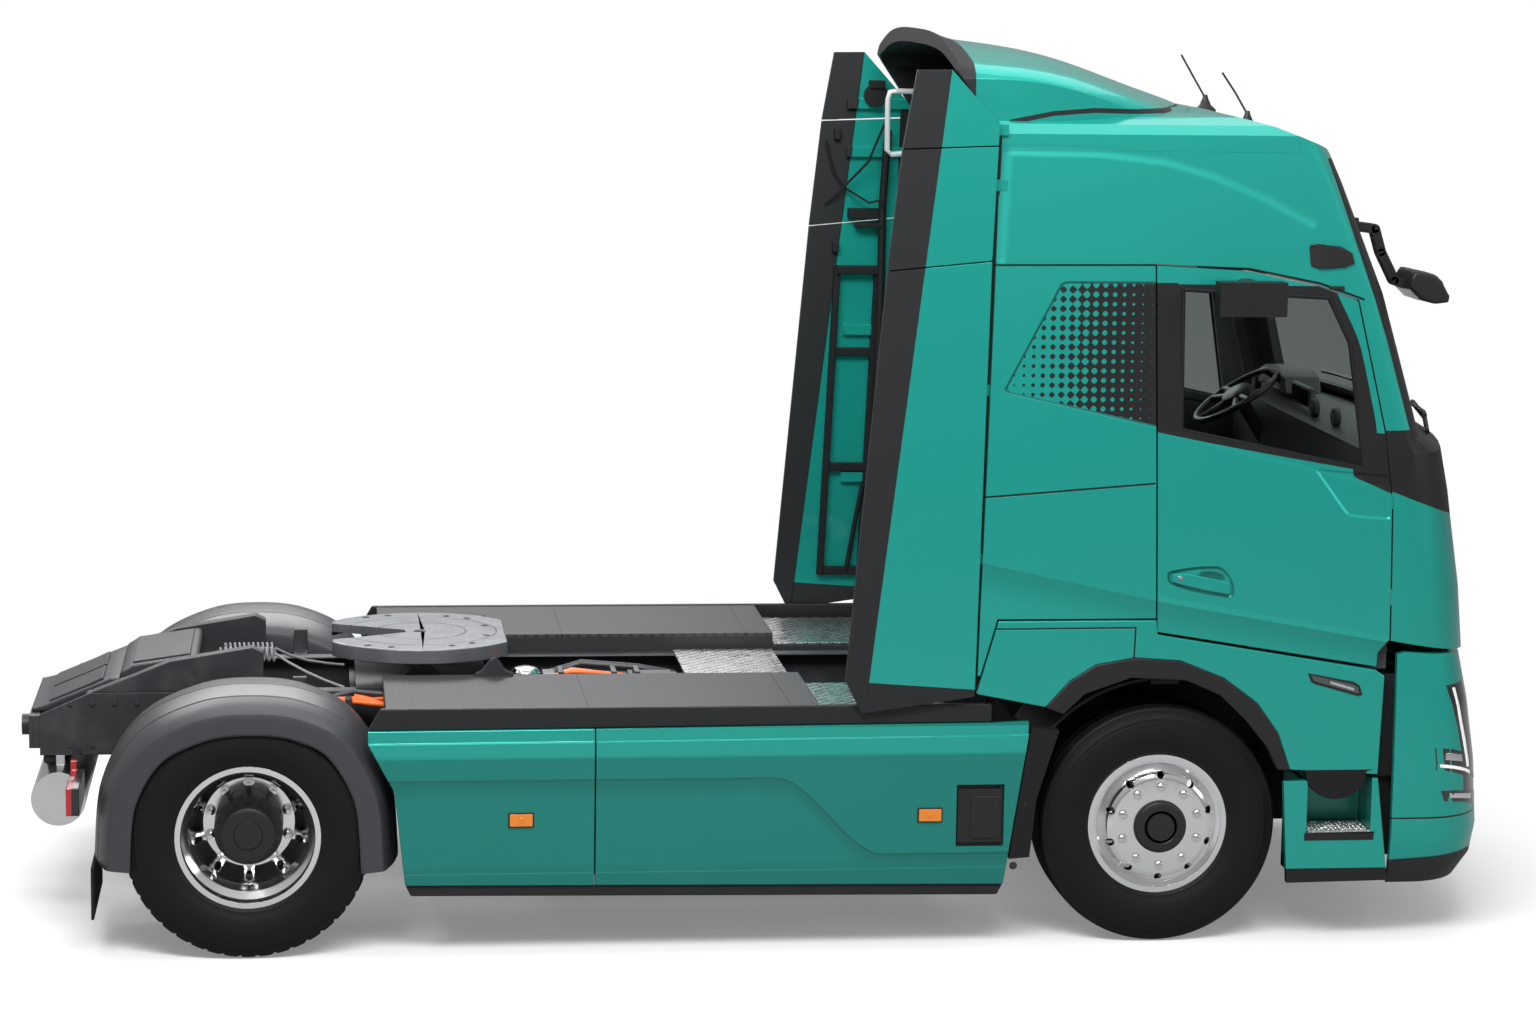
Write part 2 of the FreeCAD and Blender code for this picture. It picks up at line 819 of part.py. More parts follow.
front_hub_body = joined("FrontHubSolid", [
    cylinder("FrontHubDrum", ALONG_Y, size.Wheelbase, -(size.FrontTyreY + size.DiscFace), size.TyreRadius,
             size.HubRadius, size.FrontTyreY + size.DiscFace - size.FrontHubInner),
    cylinder("FrontHubCap", ALONG_Y, size.Wheelbase, -size.FrontHubCapFace, size.TyreRadius, size.FrontHubCapRadius,
             size.FrontHubCapFace - size.FrontTyreY)])
front_hub = cut("FrontHub", front_hub_body,
                cylinder("FrontHubBore", ALONG_Y, size.Wheelbase, -(size.SpindleEnd + size.Clearance), size.TyreRadius,
                         size.SpindleRadius + size.RunningGap, size.SpindleEnd + size.Clearance - size.FrontHubInner))
rear_hub_body = joined("RearHubSolid", [
    cylinder("RearHubDrum", ALONG_Y, 0, -size.RearHubFace, size.TyreRadius, size.HubRadius,
             size.RearHubFace - size.RearHubInner),
    cylinder("RearHubNose", ALONG_Y, 0, -size.RearHubNoseFace, size.TyreRadius, size.RearHubNoseRadius,
             size.RearHubNoseFace - size.RearHubInner)])
rear_hub = cut("RearHub", rear_hub_body,
               cylinder("RearHubBore", ALONG_Y, 0, -(size.RearSpindleEnd + size.Clearance), size.TyreRadius,
                        size.RearSpindleRadius + size.RunningGap,
                        size.RearSpindleEnd + size.Clearance - size.RearHubInner))

front_wheel = joined("FrontWheel", [front_rim, front_hub])
rear_wheel = joined("RearWheel", [rear_outer_rim, rear_inner_rim, rear_hub])
rear_tyres = together("RearTyres", [rear_outer_tyre, rear_inner_tyre])
node("tyre_front_right", [front_tyre])
node("tyre_front_left", [mirrored(front_tyre)])
node("rim_front_right", [front_wheel])
node("rim_front_left", [mirrored(front_wheel)])
node("tyres_rear_right", [rear_tyres])
node("tyres_rear_left", [mirrored(rear_tyres)])
node("rims_rear_right", [rear_wheel])
node("rims_rear_left", [mirrored(rear_wheel)])

# Steering knuckles: a fork round the axle's fist, a stub spindle and an arm back to the track rod.
axle_z = size.TyreRadius
fork_low = axle_z - size.ForkGap - size.ForkThickness
fork_high = axle_z + size.ForkGap
web_half = size.ForkRadius
knuckle_pieces = [
    cylinder("Kingpin", ALONG_Z, size.Wheelbase, -size.KingpinY, axle_z - size.KingpinHalf, size.KingpinRadius,
             size.KingpinHalf * 2)]
for name, low in (("ForkLow", fork_low), ("ForkHigh", fork_high)):
    knuckle_pieces.append(cylinder(name, ALONG_Z, size.Wheelbase, -size.KingpinY, low, size.ForkRadius,
                                   size.ForkThickness))
    knuckle_pieces.append(box(name + "Plate", size.Wheelbase - web_half, size.Wheelbase + web_half,
                              -size.ForkWebOuter, -size.KingpinY, low, low + size.ForkThickness))
knuckle_pieces.append(box("ForkWeb", size.Wheelbase - web_half, size.Wheelbase + web_half, -size.ForkWebOuter,
                          -size.ForkWebInner, fork_low, fork_high + size.ForkThickness))
knuckle_pieces.append(cylinder("Spindle", ALONG_Y, size.Wheelbase, -size.SpindleEnd, axle_z, size.SpindleRadius,
                               size.SpindleEnd - size.ForkWebOuter))
arm_top = axle_z - size.ForkGap - size.Clearance
arm_low = arm_top - size.SteerArmThickness
arm_half = size.SteerArmWidth / 2
knuckle_pieces.append(pad("SteerArm", "XY_Plane", [
    (size.Wheelbase, -size.KingpinY - arm_half), (size.Wheelbase, -size.KingpinY + arm_half),
    (size.Wheelbase - size.SteerArmBack - arm_half, -size.KingpinY + arm_half),
    (size.Wheelbase - size.SteerArmBack - arm_half, -size.KingpinY - arm_half)],
    arm_low, size.SteerArmThickness))
rod_x = size.Wheelbase - size.SteerArmBack
rod_y = size.KingpinY
knuckle_pieces.append(cylinder("TrackPin", ALONG_Z, rod_x, -rod_y, arm_low, size.TrackRodPinRadius,
                               size.SteerArmThickness + size.TrackRodEyeHeight + size.Clearance))
knuckle = joined("KnuckleRight", knuckle_pieces)
node("knuckle_right", [knuckle])
node("knuckle_left", [mirrored(knuckle)])

rod_low = arm_top + size.RunningGap
rod_solid = joined("TrackRodSolid", [
    cylinder("TrackRodBar", ALONG_Y, rod_x, -rod_y, rod_low + size.TrackRodEyeHeight / 2, size.TrackRodRadius,
             rod_y * 2),
    cylinder("TrackEyeRight", ALONG_Z, rod_x, -rod_y, rod_low, size.TrackRodEyeRadius, size.TrackRodEyeHeight),
    cylinder("TrackEyeLeft", ALONG_Z, rod_x, rod_y, rod_low, size.TrackRodEyeRadius, size.TrackRodEyeHeight)])
rod_bores = joined("TrackRodBores", [
    cylinder("TrackBoreRight", ALONG_Z, rod_x, -rod_y, arm_low, size.TrackRodPinRadius + size.RunningGap,
             size.TrackRodEyeHeight * 3),
    cylinder("TrackBoreLeft", ALONG_Z, rod_x, rod_y, arm_low, size.TrackRodPinRadius + size.RunningGap,
             size.TrackRodEyeHeight * 3)])
node("tie_rod", [cut("TrackRod", rod_solid, rod_bores)])

# Front axle: a straight beam that drops to clear the springs' seats, with a bored fist at each end.
beam_solid = joined("AxleBeamSolid", [
    box("AxleBeam", size.Wheelbase - size.AxleBeamHalf, size.Wheelbase + size.AxleBeamHalf, -size.KingpinY,
        size.KingpinY, size.AxleBeamLow + size.Clearance, size.AxleBeamHigh),
    cylinder("FistRight", ALONG_Z, size.Wheelbase, -size.KingpinY, axle_z - size.FistHalf, size.FistRadius,
             size.FistHalf * 2),
    cylinder("FistLeft", ALONG_Z, size.Wheelbase, size.KingpinY, axle_z - size.FistHalf, size.FistRadius,
             size.FistHalf * 2)])
fist_bores = joined("FistBores", [
    cylinder("FistBoreRight", ALONG_Z, size.Wheelbase, -size.KingpinY, fork_low, size.KingpinRadius + size.RunningGap,
             size.KingpinHalf * 3),
    cylinder("FistBoreLeft", ALONG_Z, size.Wheelbase, size.KingpinY, fork_low, size.KingpinRadius + size.RunningGap,
             size.KingpinHalf * 3)])
node("front_axle_beam", [cut("FrontAxle", beam_solid, fist_bores)])

# Rear axle: a tube with the drive bowl, spindles for the hubs and bolsters under the air springs.
axle_pieces = [
    cylinder("RearTube", ALONG_Y, 0, -size.RearAxleEnd, axle_z, size.RearAxleRadius, size.RearAxleEnd * 2),
    cylinder("RearBowl", ALONG_Y, 0, -size.RearBowlHalf, axle_z, size.RearBowlRadius, size.RearBowlHalf * 2),
    cylinder("RearSpindles", ALONG_Y, 0, -size.RearSpindleEnd, axle_z, size.RearSpindleRadius,
             size.RearSpindleEnd * 2)]
bolster = box("Bolster", -size.BolsterHalfLength, size.BolsterHalfLength, -size.BolsterOuter, -size.BolsterInner,
              size.BolsterLow, size.BolsterHigh)
node("rear_axle", [joined("RearAxle", axle_pieces + both(bolster))])

# Suspension: leaf springs on the front beam, four air springs between the bolsters and the rails.
spring_line = [
    (size.Wheelbase - size.SpringHalfLength, size.SpringEndZ), (size.Wheelbase - size.SpringSeatHalf, size.AxleBeamHigh),
    (size.Wheelbase + size.SpringSeatHalf, size.AxleBeamHigh), (size.Wheelbase + size.SpringHalfLength, size.SpringEndZ)]
spring_back = [(x, z + size.SpringThickness) for x, z in reversed(spring_line)]
leaf = pad("LeafSpring", "XZ_Plane", spring_line + spring_back, size.SpringY - size.SpringHalfWidth,
           size.SpringHalfWidth * 2)
hangers = []
for name, way in (("HangerRear", -1), ("HangerFront", 1)):
    end = size.Wheelbase + size.SpringHalfLength * way
    hangers.append(box(name, end - size.SpringHalfWidth, end + size.SpringHalfWidth,
                       -(size.SpringY + size.SpringHalfWidth), -(size.SpringY - size.SpringHalfWidth),
                       size.SpringEndZ, size.RailLow))
spring = joined("FrontSpring", [leaf] + hangers)
bellows = [cylinder(name, ALONG_Z, size.BellowsAhead * way, -size.BellowsY, size.BolsterHigh, size.BellowsRadius,
                    size.RailLow - size.BolsterHigh)
           for name, way in (("BellowsRear", -1), ("BellowsFront", 1))]
suspension = []
for part in [spring] + bellows:
    suspension += both(part)
node("suspension", suspension)

# Frame rails: C sections with the open side inwards and the rear end cut on the slope of the ramps.
rail_body = pad("RailRight", "YZ_Plane", [
    (-size.RailOuter, size.RailLow), (-size.RailOuter + size.RailFlange, size.RailLow),
    (-size.RailOuter + size.RailFlange, size.RailLow + size.RailWeb),
    (-size.RailOuter + size.RailWeb, size.RailLow + size.RailWeb),
    (-size.RailOuter + size.RailWeb, size.RailHigh - size.RailWeb),
    (-size.RailOuter + size.RailFlange, size.RailHigh - size.RailWeb),
    (-size.RailOuter + size.RailFlange, size.RailHigh), (-size.RailOuter, size.RailHigh)],
    -size.RailRear, size.RailRear + size.RailFront)
rail_slope = pad("RailSlope", "XZ_Plane", [
    (size.RampHeelX - size.Clearance, size.RampHeelZ), (size.RampFootX, size.RampFootZ + size.RunningGap),
    (size.RampHeelX - size.Clearance, size.RampFootZ + size.RunningGap)],
    size.RailOuter - size.RailFlange - size.Clearance, size.RailFlange + size.Clearance * 2)
rail = cut("RailRightCut", rail_body, rail_slope)
node("frame_rails", both(rail))

# Cross members between the rails, the rear end box with its stub, and the slide ramps on the rails.
web_inner = size.RailOuter - size.RailWeb
cross_low = size.RailLow + (size.RailHigh - size.RailLow - size.CrossHeight) / 2
cross_mid_share = 0.62
cross_places = [size.BolsterHalfLength, size.CentrePackRear - size.CrossDepth * 2,
                size.CentrePackFront + size.CrossDepth * 2]
crosses = [box(f"Cross{i}", x - size.CrossDepth / 2, x + size.CrossDepth / 2, -web_inner, web_inner, cross_low,
               cross_low + size.CrossHeight) for i, x in enumerate(cross_places)]
crosses.append(box("CrossRear", -size.RailRear * cross_mid_share, -size.RailRear * cross_mid_share + size.CrossDepth,
                   -web_inner, web_inner, cross_low, cross_low + size.CrossHeight))
end_box = joined("EndBox", [
    box("EndBoxBar", -(size.RailRear + size.EndBoxDepth), -size.RailRear, -size.RailOuter, size.RailOuter,
        size.EndBoxLow, size.EndBoxHigh),
    cylinder("EndStub", ALONG_X, -(size.RailRear + size.EndStubLength + size.EndBoxDepth), -size.RailOuter * 0.6,
             (size.EndBoxLow + size.EndBoxHigh) / 2, size.EndStubRadius, size.EndStubLength)])
ramp_foot = pad("RampFoot", "XZ_Plane", [
    place("RampFoot"), place("RampMid"), place("RampTop"), place("RampEnd"), (size.RampEndX, size.RailHigh)],
    size.RampInner, size.RailOuter - size.RampInner)
node("crossmembers", crosses + [end_box])

# Covers between the rails behind the coupling: one on the end box, one standing on the rear cross member.
covers = []
for name, corners in (
        ("FrameCover", ["CoverFoot", "CoverEdge", "CoverRise", "CoverSlope", "CoverCrest", "CoverFront", "CoverUnder",
                        "CoverUnderRear"]),
        ("FrameLid", ["LidFoot", "LidRear", "LidRise", "LidCrest", "LidFront", "LidToe", "LidUnder", "LidSeat"])):
    covers.append(pad(name, "XZ_Plane", [place(c) for c in corners], -size.CoverHalf, size.CoverHalf * 2))
node("frame_covers", covers)
node("frame_ramps", both(ramp_foot))

# Front beam: a cross tube on the rail ends with the cab's hinge lugs and pins.
lug_parts = []
for name, y in (("LugOuter", -(size.TiltArmOuter + size.Clearance + size.TiltLugThickness)),
                ("LugInner", -(size.TiltArmInner - size.Clearance))):
    lug_parts.append(box(name, size.TiltX - size.TiltEyeRadius, size.TiltX + size.TiltEyeRadius, y,
                         y + size.TiltLugThickness, size.FrontBeamHigh, size.TiltZ))
    lug_parts.append(cylinder(name + "Eye", ALONG_Y, size.TiltX, y, size.TiltZ, size.TiltEyeRadius,
                              size.TiltLugThickness))
lug_parts.append(cylinder("TiltPin", ALONG_Y, size.TiltX, -(size.TiltArmOuter + size.Clearance), size.TiltZ,
                          size.TiltPinRadius, size.TiltArmOuter - size.TiltArmInner + size.Clearance * 2))
lugs = joined("TiltLugs", lug_parts)
rests = cylinder("CabRest", ALONG_Z, size.CabRestX, -size.CabRestY, size.RailHigh, size.CabRestRadius,
                 size.FloorLow - size.RunningGap - size.RailHigh)
front_beam = joined("FrontBeam", [
    box("FrontBeamBar", size.FrontBeamRear, size.FrontBeamFront, -size.FrontBeamHalf, size.FrontBeamHalf,
        size.FrontBeamLow, size.FrontBeamHigh)] + both(lugs))
node("front_beam", [front_beam] + both(rests))

# Heavy blocks: battery packs beside and between the rails and under the cab.
side_pack = box("SidePack", size.PackRear, size.PackFront, -size.PackOuter, -size.PackInner, size.PackLow,
                size.PackHigh)
pack_hanger = box("PackHanger", size.CentrePackRear, size.CentrePackRear + size.CrossDepth, -size.PackInner,
                  -size.RailOuter, size.RailLow, size.PackHigh)
centre_pack = box("CentrePack", size.CentrePackRear, size.CentrePackFront, -size.CentrePackHalf, size.CentrePackHalf,
                  size.CentrePackLow, size.RailLow)
cab_pack = joined("CabPack", [
    box("CabPackBlock", size.CabPackRear, size.CabPackFront, -(size.RailOuter - size.RailFlange - size.Clearance),
        size.RailOuter - size.RailFlange - size.Clearance, size.CabPackLow, size.CabPackHigh),
    box("CabPackTop", size.CabPackRear, size.CabPackFront, -size.CabPackHalf, size.CabPackHalf, size.RailHigh,
        size.CabPackHigh)])
node("battery_packs", both(joined("SidePackHung", [side_pack, pack_hanger])) + [centre_pack, cab_pack])

# Air tank across the frame's rear end on two straps.
tank = joined("AirTank", [
    cylinder("TankShell", ALONG_Y, size.TankX, -size.TankHalf, size.TankZ, size.TankRadius, size.TankHalf * 2)]
    + both(box("TankStrap", size.TankX - size.TankStrapHalf, size.TankX + size.TankStrapHalf,
               -(size.TankStrapY + size.TankStrapHalf), -(size.TankStrapY - size.TankStrapHalf), size.TankZ,
               size.RailLow)))
node("air_tank", [tank])

# Side decks on the packs and aluminium tread plates over the rails and beside the cab.
deck = box("SideDeck", size.DeckRear, size.TreadSideRear - size.Clearance, -size.DeckOuter, -size.DeckInner,
           size.DeckHigh - size.DeckThickness, size.DeckHigh)
deck_foot = box("DeckFoot", size.PackRear, size.TreadSideRear - size.Clearance, -size.DeckOuter, -size.DeckInner,
                size.PackHigh, size.DeckHigh - size.DeckThickness)
deck_front = box("DeckFront", size.TreadSideRear - size.Clearance, size.PackFront, -size.DeckOuter, -size.DeckInner,
                 size.PackHigh, size.DeckHigh - size.DeckThickness)
deck_all = joined("Deck", [deck, deck_foot, deck_front])
node("side_decks", both(deck_all))
tread_low = size.DeckHigh - size.DeckThickness
plates = [box("TreadFirst", size.TreadFirstRear, size.TreadFirstFront, -size.TreadHalf, size.TreadHalf, size.RailHigh,
              size.RailHigh + size.TreadThickness)]
plates += both(box("TreadSide", size.TreadSideRear, size.TreadSideFront, -size.TreadSideOuter, -size.DeckInner,
                   tread_low, tread_low + size.TreadThickness))
node("tread_plates", plates)

# Side skirts: two panels a side with a top band that leans in, the front one open round the charge inlet.
band_z = size.SkirtBandDrop


def skirt_panel(name, rear_top, rear_low, front_low, front_top, kink, bend):
    lower = [(rear_low[0], rear_low[1]), (front_low[0], front_low[1]), (front_top[0], front_top[1] - band_z)]
    upper = [(front_top[0], front_top[1] - band_z), (front_top[0], front_top[1])]
    if kink is not None:
        lower.append((kink[0], kink[1] - band_z))
        upper.append((kink[0], kink[1]))
    lower.append((rear_top[0], rear_top[1] - band_z))
    if bend is not None:
        lower.append(bend)
    upper += [(rear_top[0], rear_top[1]), (rear_top[0], rear_top[1] - band_z)]
    if kink is not None:
        upper.append((kink[0], kink[1] - band_z))
    wall = pad(name + "Wall", "XZ_Plane", lower, size.CabHalfWidth - size.SkirtThickness, size.SkirtThickness)
    band = pad(name + "Band", "XZ_Plane", upper, size.CabHalfWidth - size.SkirtThickness - size.SkirtBandLean / 2,
               size.SkirtThickness)
    return joined(name, [wall, band])


seam = size.SkirtSeam / 2
rear_panel = skirt_panel(
    "SkirtRear", place("SkirtRearTop"), place("SkirtRearLow"),
    (size.SkirtSplitLowX - seam, size.SkirtSplitLowZ), (size.SkirtSplitTopX - seam, size.SkirtSplitTopZ), None,
    place("SkirtRearBend"))
front_panel = skirt_panel(
    "SkirtFront", (size.SkirtSplitTopX + seam, size.SkirtSplitTopZ), (size.SkirtSplitLowX + seam, size.SkirtSplitLowZ),
    place("SkirtFrontLow"), place("SkirtFrontTop"), place("SkirtKink"), None)
inlet_hole = box("InletHole", size.InletRearTopX, size.InletFrontLowX, -(size.CabHalfWidth + size.Overrun),
                 -(size.CabHalfWidth - size.SkirtThickness - size.Overrun), size.InletFrontLowZ, size.InletRearTopZ)
front_panel_open = cut("SkirtFrontOpen", front_panel, inlet_hole)
skirt_ties = []
for name, x in (("SkirtTieRear", size.PackRear), ("SkirtTieMid", size.CentrePackRear + size.CrossDepth * 4),
                ("SkirtTieFront", size.PackFront - size.CrossDepth)):
    skirt_ties.append(box(name, x, x + size.CrossDepth, -(size.CabHalfWidth - size.SkirtThickness), -size.PackOuter,
                          size.PackLow + size.CrossHeight, size.PackLow + size.CrossHeight + size.CrossDepth))
rear_right = joined("SkirtRearRight", [rear_panel, skirt_ties[0]])
front_right = joined("SkirtFrontRight", [front_panel_open] + skirt_ties[1:])
front_left = mirrored(joined("SkirtFrontClosed", [front_panel] + skirt_ties[1:]))
node("side_skirts", [rear_right, mirrored(rear_right), front_right, front_left])

strip_low = size.StripDrop
strip = pad("SkirtStrip", "XZ_Plane", [
    (size.SkirtRearLowX, size.SkirtRearLowZ), (size.SkirtRearLowX + strip_low / 2, size.SkirtRearLowZ - strip_low),
    (size.SkirtFrontLowX - strip_low / 2, size.SkirtFrontLowZ - strip_low), (size.SkirtFrontLowX, size.SkirtFrontLowZ)],
    size.CabHalfWidth - size.SkirtThickness, size.SkirtThickness - size.StripInset)
cap = pad("SkirtCap", "XZ_Plane", [
    (size.SkirtRearTopX, size.SkirtRearTopZ), (size.SkirtKinkX, size.SkirtKinkZ), (size.SkirtKinkX, size.RailCapHigh),
    (size.SkirtRearTopX + band_z, size.RailCapHigh)],
    size.RailCapInner, size.CabHalfWidth - size.DeflectorThickness - size.Clearance - size.RailCapInner)
node("skirt_trims", both(strip) + both(cap))

# Charge inlet plate with its socket, and the flap on a pin at the front edge.
gap = size.FlapGap
inlet_outer = size.CabHalfWidth - size.FlapThickness - size.Clearance - size.RunningGap
flap_rear = size.InletRearTopX + gap
flap_front = size.InletFrontLowX - gap
flap_low = size.InletFrontLowZ + gap
flap_high = size.InletRearTopZ - gap
pin_x = flap_front - size.FlapBarrelRadius
pin_y = size.CabHalfWidth - size.FlapBarrelRadius
ear_x = flap_front - size.FlapBarrelRadius * 2
inlet_pieces = [
    box("InletPlate", size.InletRearTopX, size.InletFrontLowX, -inlet_outer, -(inlet_outer - size.InletThickness),
        size.InletFrontLowZ, size.InletRearTopZ),
    cylinder("InletSocket", ALONG_Y, (flap_rear + flap_front) / 2, -(inlet_outer - size.InletThickness),
             (flap_low + flap_high) / 2, size.InletSocketRadius, size.SkirtThickness),
    cylinder("FlapPin", ALONG_Z, pin_x, -pin_y, flap_low, size.FlapPinRadius, flap_high - flap_low),
    box("FlapEarLow", ear_x, flap_front, -pin_y, -(inlet_outer - size.InletThickness), flap_low,
        flap_low + size.FlapEar - size.Clearance),
    box("FlapEarHigh", ear_x, flap_front, -pin_y, -(inlet_outer - size.InletThickness),
        flap_high - size.FlapEar + size.Clearance, flap_high)]
node("charge_inlet", [joined("ChargeInlet", inlet_pieces)])
barrel_low = flap_low + size.FlapEar
flap_solid = joined("FlapSolid", [
    box("FlapPlate", flap_rear, pin_x, -size.CabHalfWidth, -(size.CabHalfWidth - size.FlapThickness), barrel_low,
        flap_high - size.FlapEar),
    cylinder("FlapBarrel", ALONG_Z, pin_x, -pin_y, barrel_low, size.FlapBarrelRadius,
             flap_high - size.FlapEar - barrel_low)])
flap_bore = cylinder("FlapBore", ALONG_Z, pin_x, -pin_y, flap_low, size.FlapPinRadius + size.RunningGap,
                     flap_high - flap_low)
node("charge_flap", [cut("ChargeFlap", flap_solid, flap_bore)])

# Rear mudguards: three curved sheets a side over the twin tyres, and a flap behind each.
guard_names = ["GuardRearLow", "GuardRear", "GuardRearHigh", "GuardRearTop", "GuardTop", "GuardFrontTop",
               "GuardFrontHigh", "GuardFront", "GuardFrontLow"]


def inward(spot):
    share = size.GuardSheetShare.value
    return spot[0] * share, axle_z + (spot[1] - axle_z) * share


def guard_sheet(name, first, last):
    outer = [place(p) for p in guard_names[first:last + 1]]
    inner = [inward(p) for p in reversed(outer)]
    return pad(name, "XZ_Plane", outer + inner, size.GuardInner, size.CabHalfWidth - size.GuardInner)


sheets = [guard_sheet("GuardSheetRear", 0, 2), guard_sheet("GuardSheetTop", 2, 6), guard_sheet("GuardSheetFront", 6, 8)]
guard = joined("MudguardRight", sheets)
mount_low = size.RailHigh - size.GuardMountTop
mount = joined("GuardBracket", [
    box("GuardBracketFoot", size.GuardFrontTopX - size.GuardMountTop, size.GuardFrontTopX, -size.GuardInner,
        -size.RailOuter, mount_low, size.RailHigh),
    box("GuardBracketPost", size.GuardFrontTopX - size.GuardMountTop, size.GuardFrontTopX, -size.GuardInner,
        -(size.GuardInner - size.GuardMountTop / 2), mount_low, size.GuardFrontTopZ)])
flap_top = size.GuardRearLowZ
mudflap = box("Mudflap", size.GuardRearLowX, size.GuardRearLowX + size.MudflapThickness, -size.MudflapOuter,
              -size.MudflapInner, size.MudflapLow, flap_top)
node("mudguards_rear", both(joined("MudguardHung", [guard, mount])))
node("mudflaps", both(mudflap))
# Tail lamps on arms from the rails.
lamp = joined("TailLamp", [
    box("LampBox", -size.LampRear, -size.LampFront, -size.LampOuter, -size.LampInner, size.LampLow, size.LampHigh),
    box("LampArm", -size.LampRear, -size.LampRear + size.LampArm, -size.LampInner, -size.RailOuter,
        size.RailLow, size.RailLow + size.LampArm),
    box("LampPost", -size.LampRear, -size.LampRear + size.LampArm, -(size.LampInner + size.LampArm), -size.LampInner,
        size.LampLow, size.RailLow + size.LampArm)])
node("tail_lamps", both(lamp))

# Fifth wheel: a base with trunnion brackets, and the tilting plate with its locked kingpin bore.
bracket = joined("TrunnionBracket", [
    pad("TrunnionFoot", "XZ_Plane", [
        (size.CouplingX - size.CouplingFootHalf, size.RailHigh + size.CouplingBaseThickness),
        (size.CouplingX + size.CouplingFootHalf, size.RailHigh + size.CouplingBaseThickness),
        (size.CouplingX + size.TrunnionEyeRadius * 0.8, size.TrunnionZ),
        (size.CouplingX - size.TrunnionEyeRadius * 0.8, size.TrunnionZ)],
        size.TrunnionLugOuter + size.Clearance, size.TrunnionBracketOuter - size.TrunnionLugOuter - size.Clearance),
    cylinder("TrunnionHead", ALONG_Y, size.CouplingX, -size.TrunnionBracketOuter, size.TrunnionZ,
             size.TrunnionEyeRadius * 0.8, size.TrunnionBracketOuter - size.TrunnionLugOuter - size.Clearance),
    cylinder("TrunnionPin", ALONG_Y, size.CouplingX, -size.TrunnionBracketOuter, size.TrunnionZ, size.TrunnionRadius,
             size.TrunnionBracketOuter - size.TrunnionLugInner)])
base = joined("CouplingBase", [
    box("CouplingBasePlate", size.CouplingX - size.CouplingBaseHalf, size.CouplingX + size.CouplingBaseHalf,
        -size.CouplingBaseOuter, size.CouplingBaseOuter, size.RailHigh, size.RailHigh + size.CouplingBaseThickness)]
    + both(bracket))
node("fifth_wheel_base", [base])

plate_low = size.CouplingTop - size.CouplingThickness
window = box("CouplingWindow", size.CouplingX - size.CouplingBack, size.CouplingX + size.CouplingFront,
             -size.CouplingRadius, size.CouplingRadius, plate_low - size.CouplingRimDepth, size.CouplingTop)
ring = cut("CouplingRing",
           cylinder("CouplingRingOut", ALONG_Z, size.CouplingX, 0, plate_low - size.CouplingRimDepth,
                    size.CouplingRadius, size.CouplingRimDepth),
           cylinder("CouplingRingIn", ALONG_Z, size.CouplingX, 0, plate_low - size.CouplingRimDepth * 2,
                    size.CouplingRadius - size.CouplingRimWidth, size.CouplingRimDepth * 3))
disc = joined("CouplingDisc", [
    cylinder("CouplingPlate", ALONG_Z, size.CouplingX, 0, plate_low, size.CouplingRadius, size.CouplingThickness),
    ring])
trimmed = shared("CouplingTrimmed", disc, window)
mouth = pad("CouplingMouth", "XY_Plane", [
    (size.CouplingX - size.CouplingThroatBack, -size.CouplingThroatHalf),
    (size.CouplingX - size.CouplingThroatBack, size.CouplingThroatHalf),
    (size.CouplingX - size.CouplingBack - size.Clearance, size.CouplingMouthHalf),
    (size.CouplingX - size.CouplingBack - size.Clearance, -size.CouplingMouthHalf)],
    plate_low - size.CouplingRimDepth * 2, size.CouplingThickness + size.CouplingRimDepth * 3)
bore = cylinder("KingpinBore", ALONG_Z, size.CouplingX, 0, plate_low - size.CouplingRimDepth * 2,
                size.KingpinBoreRadius, size.CouplingThickness + size.CouplingRimDepth * 3)
lug = joined("CouplingLugs", both(joined("CouplingLug", [
    cylinder("CouplingLugEye", ALONG_Y, size.CouplingX, -size.TrunnionLugOuter, size.TrunnionZ,
             size.TrunnionEyeRadius, size.TrunnionLugOuter - size.TrunnionLugInner),
    box("CouplingLugWeb", size.CouplingX - size.TrunnionEyeRadius, size.CouplingX + size.TrunnionEyeRadius,
        -size.TrunnionLugOuter, -size.TrunnionLugInner, size.TrunnionZ, plate_low)])))
plate_solid = joined("CouplingSolid", [cut("CouplingHorseshoe", trimmed, joined("CouplingCuts", [mouth, bore])), lug])
trunnion_bore = cylinder("TrunnionBore", ALONG_Y, size.CouplingX, -size.CouplingRadius, size.TrunnionZ,
                         size.TrunnionRadius + size.RunningGap, size.CouplingRadius * 2)
node("fifth_wheel_plate", [cut("CouplingFinal", plate_solid, trunnion_bore)])

# Fenders round the front wheel arch, below the door's lower edge, and their black arch trims.
arch_out = ["ArchRearOut", "ArchRearRise", "ArchRearTop", "ArchTop", "ArchFrontTop", "ArchFrontRise", "ArchFrontHigh",
            "ArchFrontMid", "ArchFrontLow"]
arch_in = ["ArchRearIn", "ArchRearInRise", "ArchInTop", "ArchInFrontTop", "ArchInFrontRise", "ArchInFrontHigh",
           "ArchInFrontMid", "ArchInFrontLow"]
fender = side_pad("Fender", ["FenderRearHigh", "FenderRearLow"] + arch_out + [
    "FenderFrontLow", "FenderFrontBend", "FenderFrontHigh", "FenderDoorRear", "FenderStep"],
    size.CabHalfWidth - size.FenderThickness, size.CabHalfWidth)
node("fenders", both(fender))
arch_trim = side_pad("ArchTrim", arch_out + list(reversed(arch_in)),
                     size.CabHalfWidth + size.ArchTrimProud - size.ArchTrimDepth,
                     size.CabHalfWidth + size.ArchTrimProud)
node("arch_trims", both(arch_trim))

